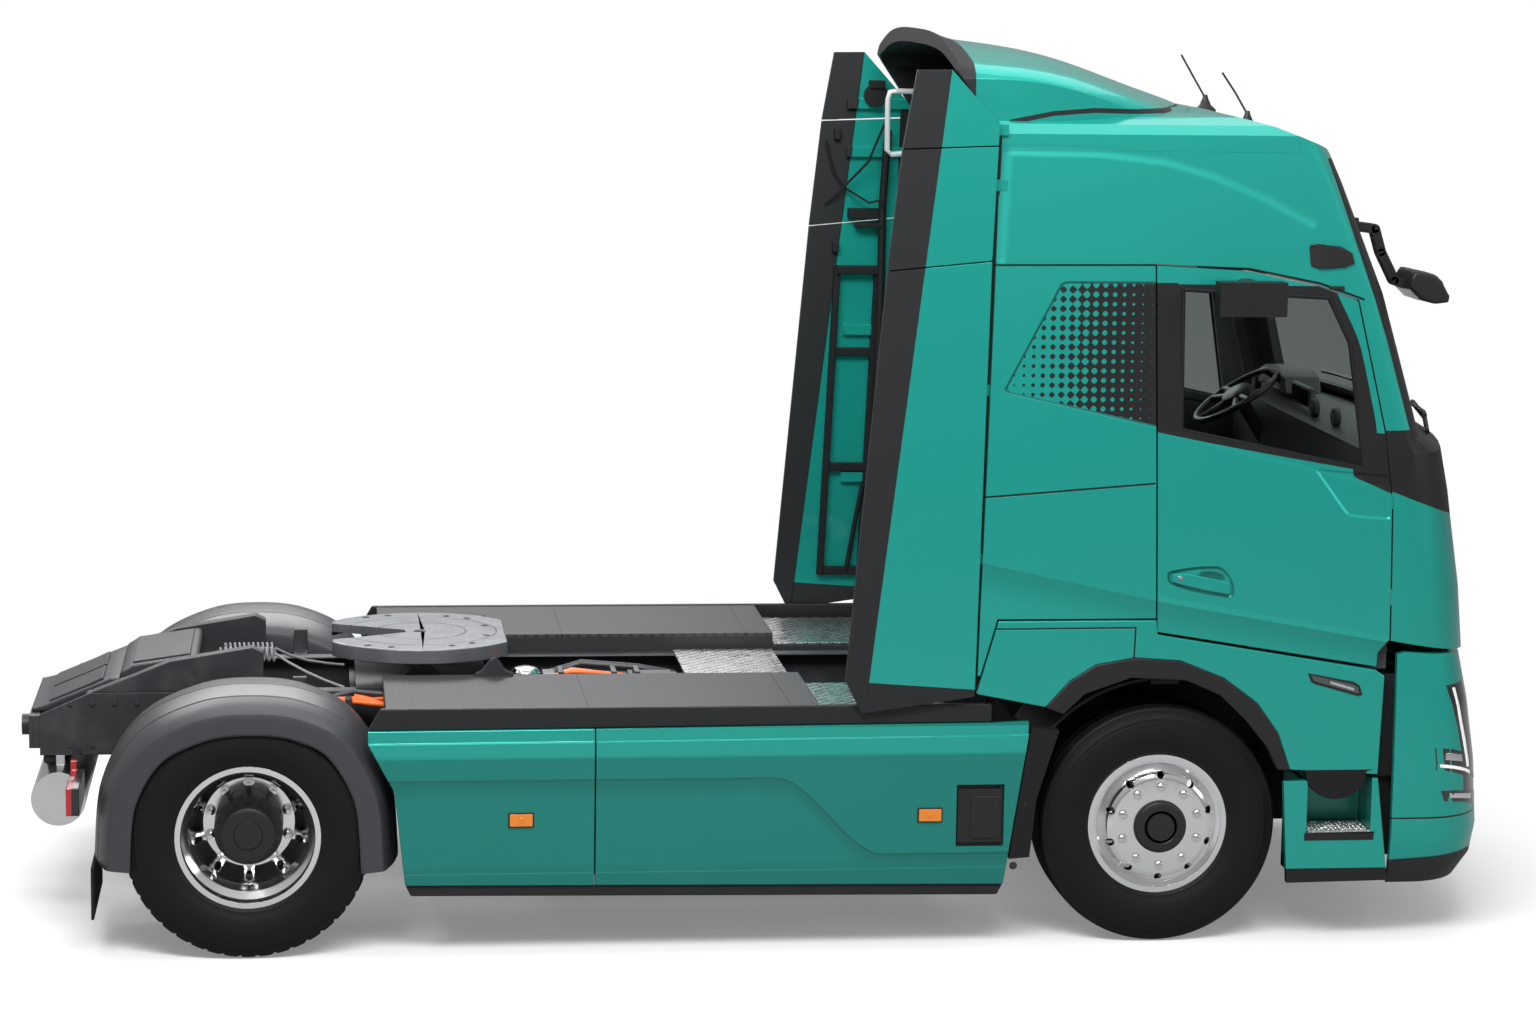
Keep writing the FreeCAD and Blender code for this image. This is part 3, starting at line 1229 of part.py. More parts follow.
# Wheel arch liners, the mudguards' rear sections behind the front wheels, and the black band by the bumper.
liner_ring = cut("LinerRing",
                 cylinder("LinerOut", ALONG_Y, size.Wheelbase, -size.LinerOuter, axle_z,
                          size.LinerRadius + size.LinerThickness, size.LinerOuter - size.LinerInner),
                 cylinder("LinerIn", ALONG_Y, size.Wheelbase, -(size.LinerOuter + size.Clearance), axle_z,
                          size.LinerRadius, size.LinerOuter - size.LinerInner + size.Clearance * 2))
liner_window = box("LinerWindow", size.GuardArchTopRearX + size.Clearance * 8, size.StepInnerRear - size.Clearance,
                   -size.LinerOuter, -size.LinerInner, size.FenderFrontLowZ, size.FloorLow)
liner = shared("Liner", liner_ring, liner_window)
liner_tie = box("LinerTie", size.Wheelbase - size.GuardMountTop, size.Wheelbase + size.GuardMountTop, -size.LinerInner,
                -size.RailOuter, size.RailHigh - size.GuardMountTop, size.RailHigh)
liner_post = box("LinerPost", size.Wheelbase - size.GuardMountTop, size.Wheelbase + size.GuardMountTop,
                 -(size.LinerInner + size.LinerThickness), -size.LinerInner, size.RailHigh - size.GuardMountTop,
                 axle_z + size.LinerRadius + size.LinerThickness)
liner_top = joined("LinerHung", [liner, liner_tie, liner_post])
fender_tie = box("FenderTie", size.Wheelbase - size.GuardMountTop, size.Wheelbase + size.GuardMountTop,
                 -(size.CabHalfWidth - size.FenderThickness), -size.LinerOuter,
                 axle_z + size.LinerRadius - size.LinerThickness, size.FenderTieHigh)
guard_flange = side_pad("GuardArch", ["GuardArchTopRear", "GuardArchTopFront", "GuardArchMidFront",
                                      "GuardArchLowFront", "GuardArchLowRear", "GuardArchMidRear"],
                        size.GuardFlangeInner, size.CabHalfWidth)
guard_back = box("GuardArchBack", size.GuardArchLowRearX, size.GuardArchLowRearX + size.LinerThickness,
                 -size.GuardFlangeInner, -size.LinerInner, size.GuardArchLowRearZ, size.GuardArchMidRearZ)
guard_top = box("GuardArchTie", size.GuardArchMidRearX, size.GuardArchMidRearX + size.LinerThickness, -size.LinerInner,
                -size.RailOuter, size.RailLow, size.RailHigh - size.GuardMountTop)
guard_rise = box("GuardArchRise", size.GuardArchMidRearX, size.GuardArchMidRearX + size.LinerThickness,
                 -size.GuardFlangeInner, -size.LinerInner, size.GuardArchMidRearZ - size.GuardMountTop,
                 size.GuardArchTopRearZ)
rear_section = joined("GuardArchAll", [guard_flange, guard_back, guard_top, guard_rise])
band = pad("Band", "XZ_Plane", [
    (size.FenderFrontLowX - size.BandRear, size.StepFrontHighZ),
    (size.BumperRear + size.BandFront, size.StepFrontHighZ),
    (size.BumperRear + size.BandFront, size.FenderFrontBendZ),
    (size.FenderFrontBendX - size.BandRear, size.FenderFrontBendZ)],
    size.BandDepth - size.LinerThickness, size.LinerThickness)
node("wheel_arches", both(joined("LinerRight", [liner_top, fender_tie])) + both(rear_section) + both(band))

# Step boxes under the fenders' front ends, open at the side and top above the tread.
step_body = side_pad("StepBody", ["StepRearHigh", "StepRearLow", "StepFrontLow", "StepFrontHigh"],
                     size.StepInner, size.StepOuter)
step_inner_clear = box("StepWheelClear", size.StepRearHighX - size.Overrun, size.StepInnerRear,
                       -(size.StepOuter - size.StepSkin), -(size.StepInner - size.Clearance),
                       size.StepRearLowZ - size.Overrun, size.StepRearHighZ + size.Overrun)
step_recess = box("StepRecess", size.StepInnerRear + size.StepWall, size.StepFrontHighX - size.StepWall,
                  -(size.StepOuter + size.Overrun), -(size.StepOuter - size.StepRecess), size.StepTread,
                  size.StepRearHighZ + size.Overrun)
step_hollow = box("StepHollow", size.StepInnerRear + size.StepWall, size.StepFrontHighX - size.StepWall,
                  -(size.StepOuter - size.StepWall), -(size.StepInner + size.StepWall), size.StepRearLowZ - size.Overrun,
                  size.StepTread - size.StepWall)
step_hollow_in = box("StepHollowIn", size.StepInnerRear + size.StepWall, size.StepFrontHighX - size.StepWall,
                     -(size.StepOuter - size.StepRecess - size.StepWall), -(size.StepInner + size.StepWall),
                     size.StepRearLowZ - size.Overrun, size.StepRearHighZ - size.StepWall)
step = cut("Step", step_body, joined("StepCuts", [step_inner_clear, step_recess, step_hollow, step_hollow_in]))
step_tie = box("StepTie", size.StepFrontHighX - size.StepWall * 4, size.StepFrontHighX - size.StepWall, -size.StepInner,
               -size.FrontBeamHalf + size.StepWall * 2, size.FrontBeamLow, size.FrontBeamLow + size.StepWall)
step_reach = box("StepReach", size.StepFrontHighX - size.StepWall * 4, size.FrontBeamRear + size.StepWall,
                 -size.FrontBeamHalf + size.StepWall, -size.FrontBeamHalf + size.StepWall * 3,
                 size.FrontBeamLow - size.StepWall, size.FrontBeamLow)
node("step_boxes", both(joined("StepHung", [step, step_tie, step_reach])))


# Plan sections: straight sides, a rounded corner and a face that bows forward.
def plan_ring(front_x, half_width, reach, rear_x, z):
    bow = size.CabFaceBow.value / size.CabBowReach.value ** 2
    turn = half_width - size.CabCornerReach.value
    start_x = front_x - reach
    end_x = front_x - bow * turn * turn
    slope = 2 * bow * turn
    a = Vector(start_x, -half_width, z)
    b = Vector(start_x + (end_x - start_x) * 0.6, -half_width, z)
    c = Vector(end_x - slope * (half_width - turn) * 0.5, -(half_width + turn) / 2, z)
    d = Vector(end_x, -turn, z)
    spots = [Vector(rear_x, -half_width, z), a]
    for t in corner_shares:
        u = 1 - t
        spots.append(a * u ** 3 + b * (3 * u * u * t) + c * (3 * u * t * t) + d * t ** 3)
    for share in bow_shares:
        y = turn * share
        spots.append(Vector(front_x - bow * y * y, -y, z))
    return spots + [Vector(p.x, -p.y, p.z) for p in reversed(spots)]


def flat_patches(a, b, c, d):
    """One plane face on four corners, or two triangles where they are not in a plane."""
    normal = (b - a).cross(c - a)
    off = abs(normal.dot(d - a)) / normal.Length
    if off < size.RunningGap.value / 1000:
        groups = [(a, b, c, d)]
    elif a.y + b.y < 0:
        groups = [(a, b, c), (a, c, d)]
    else:
        groups = [(a, b, d), (b, c, d)]
    return [Part.Face(Part.makePolygon(list(g) + [g[0]])) for g in groups]


def ring_solid(rings):
    faces = [Part.Face(Part.makePolygon(r + r[:1])) for r in (rings[0], rings[-1])]
    count = len(rings[0])
    for low, high in zip(rings, rings[1:]):
        for i in range(count):
            j = (i + 1) % count
            faces += flat_patches(low[i], low[j], high[j], high[i])
    return Part.makeSolid(Part.makeShell(faces)).removeSplitter()


face_levels = ["FaceFoot", "FaceLow", "FaceMid", "FaceHigh", "FaceBelt", "FaceCowl", "ScreenFoot", "ScreenMid",
               "ScreenTop", "FaceCrown"]
roof_line = ["RoofAhead", "RoofNose", "RoofBrow", "RoofFront", "RoofMid", "RoofRear"]
nose_line = ["CabDoorStep", "CabDoorRear", "CabDoorFront", "CabDoorKink", "CabCornerLow", "CabNoseBend", "CabNoseRise",
             "CabNoseLip", "CabNoseLow"]


def rear_at(z):
    """The cab's rear edge at a height: it leans forward as it rises."""
    run = size.CabRearHighX.value - size.CabRearLowX.value
    return size.CabRearLowX.value + run * (z - size.CabRearLowZ.value) / (size.CabRearHighZ.value
                                                                        - size.CabRearLowZ.value)


def cab_form(inset):
    """The cab's outer form, or the same form drawn in by an inset and left open below."""
    rings = []
    for name, width, reach in zip(face_levels, level_width_shares, level_reach_shares):
        x, z = place(name)
        half = size.CabHalfWidth.value * width - inset
        rings.append(plan_ring(x.value - inset, half, size.CabHalfWidth.value * reach - inset * draw_share,
                               rear_at(z.value) + inset, z.value))
    body = ring_solid(rings)
    back = (size.CabRearLowX - size.Overrun).value
    ahead = size.CabNoseLowX.value
    low = (size.FloorLow - size.Overrun).value
    wide = (size.CabHalfWidth + size.Overrun).value
    roof = [(x.value, z.value - inset) for x, z in (place(p) for p in roof_line)]
    roof[-1] = (back, roof[-1][1])
    body = body.common(prism([(back, low), (ahead, low), (ahead, size.CabNoseAheadZ)] + roof, "Y", -wide, wide))
    if not inset:
        under = [(back, size.CabRearLowZ)] + [place(p) for p in nose_line]
        body = body.cut(prism(under + [(ahead, low), (back, low)], "Y", -wide, wide))
    crown = size.RoofRearZ.value - inset
    half = size.CabHalfWidth.value - inset
    shoulder = size.CabRoofShoulder.value
    arch = [(-wide, crown - shoulder * 6), (-half - shoulder * 0.1, crown - shoulder * 2.6)]
    arch += [(-half + shoulder * a, crown - shoulder * b) for a, b in shoulder_shares]
    arch += [(-half * a, crown - shoulder * b) for a, b in crown_shares]
    arch += [(-y, z) for y, z in reversed(arch)]
    base = low - size.Overrun.value
    return body.common(prism([(-wide, base)] + arch + [(wide, base)], "X", 0, ahead + size.Overrun.value))


cab_outer = cab_form(0)
cab_inner = cab_form(float(size.CabWall))
shell = cab_outer.cut(cab_inner)
side_reach = float(size.CabHalfWidth) + float(size.Overrun)
side_depth = float(size.CabHalfWidth) - float(size.CabWall) * 3

door_line = ["DoorRearHigh", "DoorTopMid", "DoorTopFront", "DoorCorner", "DoorFrontHigh", "DoorFrontMid",
             "DoorFrontLow", "DoorFrontFoot", "DoorFrontKink", "DoorFrontToe", "DoorRearToe"]
window_line = ["WindowRearHigh", "WindowFrontHigh", "WindowFrontMid", "WindowFrontLow", "WindowRearLow"]
door_corners = [place(p) for p in door_line]
window_corners = [place(p) for p in window_line]
door_zone = prism(door_corners, "Y", -side_reach, -side_depth)
door_opening = grown(door_corners, size.DoorGap, "Y", -side_reach, -side_depth)
left_opening = door_opening.mirror(Vector(0, 0, 0), Vector(0, 1, 0))
window_zone = prism(window_corners, "Y", -side_reach, -side_depth)
pane_outer = size.CabHalfWidth - size.GlassInset
pane = side_pad("DoorPane", window_line, pane_outer - size.GlassThickness, pane_outer)

# The cab front: every wall ahead of the doors and the windscreen pillars, with the windscreen cut out.
front_corners = [(size.DoorFrontFootX + size.DoorGap, size.FloorLow - size.Overrun), place("DoorFrontFoot"),
                 place("DoorFrontLow"), place("DoorFrontMid"), place("DoorFrontHigh"), place("DoorCorner"),
                 place("PillarEave"), place("PillarHigh"), (size.PillarHighX, size.RoofRearZ + size.Overrun),
                 (size.CabNoseLowX, size.RoofRearZ + size.Overrun), (size.CabNoseLowX, size.FloorLow - size.Overrun)]
front_corners = [(x + size.DoorGap, z) if i < 6 else (x, z) for i, (x, z) in enumerate(front_corners)]
front_zone = prism(front_corners, "Y", -side_reach, side_reach)
screen_half_low = size.CabHalfWidth * 0.87
screen_half_high = size.CabHalfWidth * 0.79
screen_low = size.ScreenFootZ + size.CabWall / 2
screen_high = size.ScreenGlassHigh
screen_zone = prism([(-screen_half_low, screen_low), (screen_half_low, screen_low), (screen_half_high, screen_high),
                     (-screen_half_high, screen_high)], "X", size.PillarHighX, size.CabNoseLowX)
screen_form = cab_form(float(size.ScreenInset)).cut(cab_form(float(size.ScreenInset + size.ScreenThickness)))
windscreen = screen_form.common(screen_zone)
front_shell = shell.common(front_zone).cut(screen_zone)
rest = shell.cut(front_zone)
roof_zone = prism([(size.CabRearLowX - size.Overrun, size.RoofPanelZ), (size.CabNoseLowX, size.RoofPanelZ),
                   (size.CabNoseLowX, size.RoofRearZ + size.Overrun),
                   (size.CabRearLowX - size.Overrun, size.RoofRearZ + size.Overrun)], "Y", -side_reach, side_reach)
roof_shell = rest.common(roof_zone)
rest = rest.cut(roof_zone)
rear_half = size.CabHalfWidth - size.CabWall - size.Clearance * 4
rear_zone = prism([(size.CabRearLowX - size.Overrun, size.FloorLow), (size.CabRearHighX + size.CabWall * 2,
                                                                     size.FloorLow),
                   (size.CabRearHighX + size.CabWall * 2, size.RoofRearZ + size.Overrun),
                   (size.CabRearLowX - size.Overrun, size.RoofRearZ + size.Overrun)], "Y", -rear_half, rear_half)
rear_shell = rest.common(rear_zone)
sides = rest.cut(rear_zone)
door_shell = sides.common(door_zone).cut(window_zone)
sides = sides.cut(door_opening).cut(left_opening)

# Door hinge pins stand in the shut line on tabs of the cab front, on an axis that follows the door's edge.
lean = math.atan2(float(size.DoorFrontLowX - size.DoorFrontFootX), float(size.DoorFrontLowZ - size.DoorFrontFootZ))
hinge_y = size.CabHalfWidth - size.DoorGap / 2


def hinge_x(z):
    return (float(size.DoorFrontFootX) + (float(z) - float(size.DoorFrontFootZ)) * math.tan(lean)
            + float(size.DoorGap) / 2)


pins = []
for z in (size.HingeLowZ, size.HingeHighZ):
    for way in (-1, 1):
        spot = Vector(hinge_x(z), float(hinge_y) * way, float(z))
        axis = Vector(math.sin(lean), 0, math.cos(lean))
        pin = Part.makeCylinder(float(size.HingePinRadius), float(size.HingeLength), spot, axis)
        tab = Part.makeBox(float(size.HingeTab), float(size.HingePinRadius), float(size.HingeLength),
                           spot - Vector(0, float(size.HingePinRadius) / 2, 0))
        pins.append(pin.fuse(tab))
for pin in pins:
    front_shell = front_shell.fuse(pin)
front_shell = solids_of(front_shell)

node("cab_front", [feature("CabFront", front_shell)])
node("windscreen", [feature("Windscreen", solids_of(windscreen))])
node("cab_roof", [feature("CabRoof", solids_of(roof_shell))])
node("cab_rear_wall", [feature("CabRearWall", solids_of(rear_shell))])
side_tip = prism([place("CabRearLow"), place("CabTipRear"), place("CabTipFront"), place("CabTipHigh")], "Y",
                 -float(size.CabHalfWidth), -float(size.CabHalfWidth - size.FenderThickness))
sides = sides.fuse(side_tip).fuse(side_tip.mirror(Vector(0, 0, 0), Vector(0, 1, 0)))
node("cab_sides", [feature("CabSides", solids_of(sides.removeSplitter()))])

# Doors: the skin and frame cut from the cab's side, a pane in the window, and the camera arm on the frame.
mirror_inner = size.CabHalfWidth + size.MirrorReach
mirror_arm = box("MirrorArm", size.MirrorArmX - size.MirrorArmHalf, size.MirrorArmX + size.MirrorArmHalf,
                 -mirror_inner, -(size.CabHalfWidth - size.CabWall), size.MirrorArmZ - size.MirrorArmHalf,
                 size.MirrorArmZ + size.MirrorArmHalf)
mirror_head = box("MirrorHead", size.MirrorHeadRear, size.MirrorHeadRear + size.MirrorHeadLength,
                  -(mirror_inner + size.MirrorHeadWidth), -mirror_inner, size.MirrorHeadLow,
                  size.MirrorHeadLow + size.MirrorHeadHeight)
door_skin = feature("DoorSkin", solids_of(door_shell))
door = joined("DoorRight", [door_skin, mirror_arm, mirror_head])
node("door_right", [door])
node("door_left", [mirrored(door)])
node("door_glass_right", [pane])
node("door_glass_left", [mirrored(pane)])

# Cab floor with sills, lower rear wall, firewall and the arms down to the tilt pins.
sill = box("Sill", size.FloorRear, size.FloorFront, -size.SillOuter, -size.SillInner, size.FloorLow, size.SillHigh)
sill_rear = shared("SillRear", box("SillRearBlock", size.FloorRear, size.DoorRearToeX - size.CabWall * 2,
                                   -size.CabHalfWidth, -size.SillInner, size.CabRearLowZ + size.Clearance,
                                   size.SillHigh), feature("CabInnerForm", cab_inner))
arm_pieces = joined("TiltArm", [
    pad("TiltArmPlate", "XZ_Plane", [
        (size.TiltX - size.TiltEyeRadius, size.TiltZ), (size.TiltX + size.TiltEyeRadius / 2, size.TiltZ),
        (size.FloorFront, size.FloorLow), (size.FloorFront - size.TiltEyeRadius * 4, size.FloorLow)],
        size.TiltArmInner, size.TiltArmOuter - size.TiltArmInner),
    cylinder("TiltEye", ALONG_Y, size.TiltX, -size.TiltArmOuter, size.TiltZ, size.TiltEyeRadius,
             size.TiltArmOuter - size.TiltArmInner)])
arm_bored = cut("TiltArmBored", arm_pieces, cylinder("TiltBore", ALONG_Y, size.TiltX, -size.TiltArmOuter, size.TiltZ,
                                                     size.TiltPinRadius + size.RunningGap,
                                                     size.TiltArmOuter - size.TiltArmInner))
floor = joined("CabFloor", [
    box("FloorPlate", size.FloorRear, size.FloorFront, -size.SillInner, size.SillInner, size.FloorLow,
        size.FloorLow + size.FloorThickness),
    box("FloorRearWall", size.CabRearLowX, size.FloorRear, -size.SillOuter, size.SillOuter, size.FloorLow,
        size.CabRearLowZ),
    box("Firewall", size.FloorFront - size.FirewallThickness, size.FloorFront, -size.SillInner, size.SillInner,
        size.FloorLow, size.FirewallHigh)] + both(sill) + both(sill_rear) + both(arm_bored))
toe_board = shared("ToeBoard", box("ToeBoardPlate", size.FloorFront, size.CabNoseLowX, -size.SillInner, size.SillInner,
                                   size.FirewallHigh - size.FirewallThickness, size.FirewallHigh),
                   feature("CabInnerFormToe", cab_inner))
node("cab_floor", [joined("CabFloorAll", [floor, toe_board])])

# Deflectors: three stacked plates a side on stays from the cab's rear wall, and the hollow roof piece.
half_seam = size.DeflectorSeam / 2
deflector_in = size.CabHalfWidth - size.DeflectorThickness
lower_plate = side_pad("DeflectorLower", ["DeflectorRearLow", "DeflectorTip", "DeflectorFrontLow",
                                          "DeflectorSeamLowFront", "DeflectorSeamLowRear"],
                       deflector_in, size.CabHalfWidth)
middle_plate = pad("DeflectorMiddle", "XZ_Plane", [
    (size.DeflectorSeamLowRearX, size.DeflectorSeamLowRearZ + size.DeflectorSeam),
    (size.DeflectorSeamLowFrontX, size.DeflectorSeamLowFrontZ + size.DeflectorSeam),
    place("DeflectorSeamHighFront"), place("DeflectorSeamHighRear")], deflector_in, size.DeflectorThickness)
upper_plate = pad("DeflectorUpper", "XZ_Plane", [
    (size.DeflectorSeamHighRearX, size.DeflectorSeamHighRearZ + size.DeflectorSeam),
    (size.DeflectorSeamHighFrontX, size.DeflectorSeamHighFrontZ + size.DeflectorSeam),
    place("DeflectorFrontHigh"), place("DeflectorTopFront"), place("DeflectorTopRear")],
    deflector_in, size.DeflectorThickness)
plates_right = []
outer_form = feature("CabOuterForm", cab_outer)
for name, plate, levels in (
        ("Lower", lower_plate, (size.DeflectorFrontLowZ + size.StayInset,
                                size.DeflectorSeamLowFrontZ - size.StayInset)),
        ("Middle", middle_plate, (size.DeflectorSeamHighFrontZ - size.StayHeight * 4,)),
        ("Upper", upper_plate, (size.DeflectorSeamHighFrontZ + size.StayHeight,))):
    stays = []
    for i, z in enumerate(levels):
        stay = box(f"Stay{name}{i}", size.StayRear, size.CabRearHighX + size.StayThickness,
                   -deflector_in, -(deflector_in - size.StayThickness), z, z + size.StayHeight)
        stays.append(cut(f"Stay{name}{i}Cut", stay, outer_form))
    plates_right.append(joined(f"Deflector{name}Hung", [plate] + stays))
side_deflectors = []
for plate in plates_right:
    side_deflectors += both(plate)
node("side_deflectors", side_deflectors)


def roof_deflector_form(inset, drop, back):
    stations = ["RoofDefRear", "RoofDefRearRise", "RoofDefCrest", "RoofDefMid", "RoofDefFront", "RoofDefTip"]
    foot = float(size.CabRearHighZ) - float(size.Overrun)
    wires = []
    for name, width_share, fall_share in zip(stations, deflector_width_shares, deflector_fall_shares):
        x, z = (float(value) for value in place(name))
        x -= {"RoofDefRear": back, "RoofDefTip": inset * 2}.get(name, 0)
        half = float(size.RoofDeflectorHalf) * width_share - inset
        fall = float(size.RoofDeflectorFall) * fall_share
        arch = [Vector(x, half * side, z - inset - fall * low)
                for side, low in deflector_arch_shares]
        crown = Part.BSplineCurve()
        crown.interpolate(arch)
        feet = [Vector(x, point.y, foot) for point in (arch[-1], arch[0])]
        edges = [crown.toShape(), Part.makeLine(arch[-1], feet[0]), Part.makeLine(*feet), Part.makeLine(feet[1], arch[0])]
        wires.append(Part.Wire(edges))
    hood = Part.makeLoft(wires, True, False)
    rear, crest = (float(value) for value in place("RoofDefRear"))
    tip = float(size.RoofDefTipX) + float(size.Overrun)
    side = prism([(rear - back, crest + float(size.Overrun)), (tip, crest + float(size.Overrun)), (tip, foot - drop),
                  (float(size.RoofDefFloorX) - back / 2, foot - drop),
                  (float(size.RoofDefFloorX) - back / 2, float(size.RoofDefFloorZ) - drop),
                  (rear - back, float(size.RoofDefRearLowZ) - drop)], "Y", -float(size.CabHalfWidth),
                 float(size.CabHalfWidth))
    return hood.common(side)


roof_piece = roof_deflector_form(0, 0, 0).cut(
    roof_deflector_form(float(size.RoofDeflectorWall), float(size.Overrun) / 2, float(size.Overrun) / 2)).cut(cab_outer)
roof_piece = max(roof_piece.Solids, key=lambda s: s.Volume)
node("roof_deflector", [feature("RoofDeflector", roof_piece)])

# Seats, bunk, dashboard and steering wheel.
seat_parts = [
    box("SeatBase", size.SeatRear + size.SeatBackThickness, (size.SeatRear + size.SeatLength) - size.SeatBackThickness,
        -(size.SeatY + size.SeatBaseHalf), -(size.SeatY - size.SeatBaseHalf), size.FloorLow + size.FloorThickness,
        size.SeatCushionLow),
    box("SeatCushion", size.SeatRear, (size.SeatRear + size.SeatLength), -(size.SeatY + size.SeatHalfWidth),
        -(size.SeatY - size.SeatHalfWidth), size.SeatCushionLow, size.SeatCushionHigh),
    box("SeatBack", size.SeatRear - size.SeatBackThickness / 2, size.SeatRear + size.SeatBackThickness / 2,
        -(size.SeatY + size.SeatHalfWidth), -(size.SeatY - size.SeatHalfWidth), size.SeatCushionLow,
        size.SeatBackHigh),
    box("SeatHead", size.SeatRear - size.SeatBackThickness / 2, size.SeatRear + size.SeatBackThickness / 3,
        -(size.SeatY + size.HeadrestHalf), -(size.SeatY - size.HeadrestHalf), size.SeatBackHigh, size.HeadrestHigh)]
seat = joined("Seat", seat_parts)
bunk = joined("Bunk", [
    box("BunkBase", size.BunkRear, size.BunkFront - size.FloorThickness, -size.BunkHalf, size.BunkHalf,
        size.FloorLow + size.FloorThickness, size.BunkHigh - size.BunkMattress),
    box("BunkMattress", size.BunkRear, size.BunkFront, -size.BunkHalf, size.BunkHalf,
        size.BunkHigh - size.BunkMattress, size.BunkHigh)])
node("seats", both(seat))
node("bunk", [bunk])
dash_front = size.CabNoseLowX
dash_block = pad("DashBlock", "XZ_Plane", [
    (size.DashRear + size.CabWall * 2, size.FirewallHigh), (dash_front, size.FirewallHigh),
    (dash_front, size.FaceCowlZ), (size.DashRear + size.CabWall * 4, size.FaceCowlZ + size.CabWall),
    (size.DashRear, size.FaceCowlZ), (size.DashRear, size.FaceHighZ)], -size.DashHalf, size.DashHalf * 2)
dash = shared("Dash", dash_block, feature("CabInnerFormDash", cab_inner))
node("dashboard", [dash])
tilt = Rotation(Vector(0, 1, 0), 147)
wheel_ring = doc.addObject("Part::Torus", "SteeringRing")
bind(wheel_ring, "Radius1", size.WheelRadius)
bind(wheel_ring, "Radius2", size.WheelGrip)
put(wheel_ring, size.WheelX, size.WheelY, size.WheelZ, tilt)
spoke = cylinder("SteeringSpoke", ALONG_Y, size.WheelX, size.WheelY - size.WheelRadius, size.WheelZ, size.WheelGrip,
                 size.WheelRadius * 2)
column = cylinder("SteeringColumn", tilt, size.WheelX, size.WheelY, size.WheelZ, size.ColumnRadius,
                  size.ColumnLength)
steering = cut("SteeringWheel", joined("SteeringSolid", [wheel_ring, spoke, column]), dash)
node("steering_wheel", [steering])

# Front mirror on its arm from the header over the windscreen.
base_x, base_z = place("FrontMirrorBase")
elbow_x, elbow_z = place("FrontMirrorElbow")
knee_x, knee_z = place("FrontMirrorKnee")
head_x, head_z = place("FrontMirrorHead")
arm_half = size.FrontMirrorArmRadius
head_rear = head_x - size.FrontMirrorHeadDepth
arm_line = [(base_x, base_z - arm_half), (elbow_x - arm_half, elbow_z - arm_half),
            (knee_x - arm_half, knee_z - arm_half), (head_rear, knee_z - arm_half), (head_rear, knee_z + arm_half),
            (knee_x + arm_half / 2, knee_z + arm_half), (elbow_x + arm_half, elbow_z + arm_half),
            (base_x, base_z + arm_half)]
mirror_bar = pad("FrontMirrorBar", "XZ_Plane", arm_line, size.FrontMirrorY - arm_half, arm_half * 2)
mirror_box = box("FrontMirrorBox", head_rear, head_x + size.FrontMirrorHeadDepth,
                 -(size.FrontMirrorY + size.FrontMirrorHeadHalf), -(size.FrontMirrorY - size.FrontMirrorHeadHalf),
                 head_z - size.FrontMirrorHeadHeight, head_z + size.FrontMirrorHeadHeight)
mirror_all = joined("FrontMirrorSolid", [mirror_bar, mirror_box])
node("front_mirror", [cut("FrontMirror", mirror_all, outer_form)])

# Bumper: a shell that wraps the corners, with lamp units let into it.
bumper_levels = ["BumperCrest", "BumperShoulder", "BumperWaist", "BumperWidest", "BumperTuck", "BumperLip"]
bumper_width_shares = [0.985, 0.995, 1.0, 1.0, 0.985, 0.955]
bumper_reach_shares = [0.29, 0.32, 0.34, 0.353, 0.345, 0.32]


def bumper_form(inset):
    rings = []
    for name, width, reach in zip(bumper_levels, bumper_width_shares, bumper_reach_shares):
        x, z = place(name)
        half = size.BumperHalfWidth.value * width - inset
        height = z.value
        if name == bumper_levels[0]:
            height += size.Overrun.value / 2
        elif name == bumper_levels[-1] and inset:
            height -= size.Overrun.value / 4
        rings.append(plan_ring(x.value - inset, half, size.BumperHalfWidth.value * reach - inset * draw_share,
                               (size.BumperRear - size.Overrun).value, height))
    return ring_solid(list(reversed(rings)))


bumper_top = prism([place("BumperTopRear"), place("BumperTopChamfer"), place("BumperTopBend"), place("BumperTopFront"),
                    (size.BumperTopFrontX, size.BumperLipZ - size.Overrun),
                    (size.BumperRear, size.BumperLipZ - size.Overrun), (size.BumperRear, size.BumperTopRearZ)],
                   "Y", -side_reach, side_reach)
bumper_shell = bumper_form(0).cut(bumper_form(float(size.BumperWall))).common(bumper_top)
lamp_corners = [(size.CabHalfWidth * 0.70, size.HeadlampInnerZ), (size.CabHalfWidth * 0.935, size.HeadlampSideZ),
                (size.CabHalfWidth * 0.935, size.BumperSplitZ), (size.CabHalfWidth * 0.80, size.BumperSplitZ),
                (size.CabHalfWidth * 0.66, size.BumperSplitZ + size.Overrun * 0.3)]
lamp_zone = prism([(-y, z) for y, z in lamp_corners], "X", size.BumperRear, size.CabNoseLowX)
lamp_hole = grown([(-y, z) for y, z in lamp_corners], size.LampSeam, "X", size.BumperRear, size.CabNoseLowX)
lamp_right = bumper_shell.common(lamp_zone)
flip = (Vector(0, 0, 0), Vector(0, 1, 0))
bumper_cut = bumper_shell.cut(lamp_hole).cut(lamp_hole.mirror(*flip))
bumper_inner = bumper_form(float(size.BumperWall))
lamp_part = feature("HeadlampRight", solids_of(lamp_right))
node("headlamps", both(lamp_part))
bumper_bracket = box("BumperBracket", size.FrontBeamFront, size.CabNoseLowX, -(size.BumperBracketY
                                                                              + size.BumperBracketHalf),
                     -(size.BumperBracketY - size.BumperBracketHalf), size.BumperBracketLow, size.BumperBracketHigh)
bracket_cut = shared("BumperBracketCut", bumper_bracket, feature("BumperInnerForm", bumper_inner))
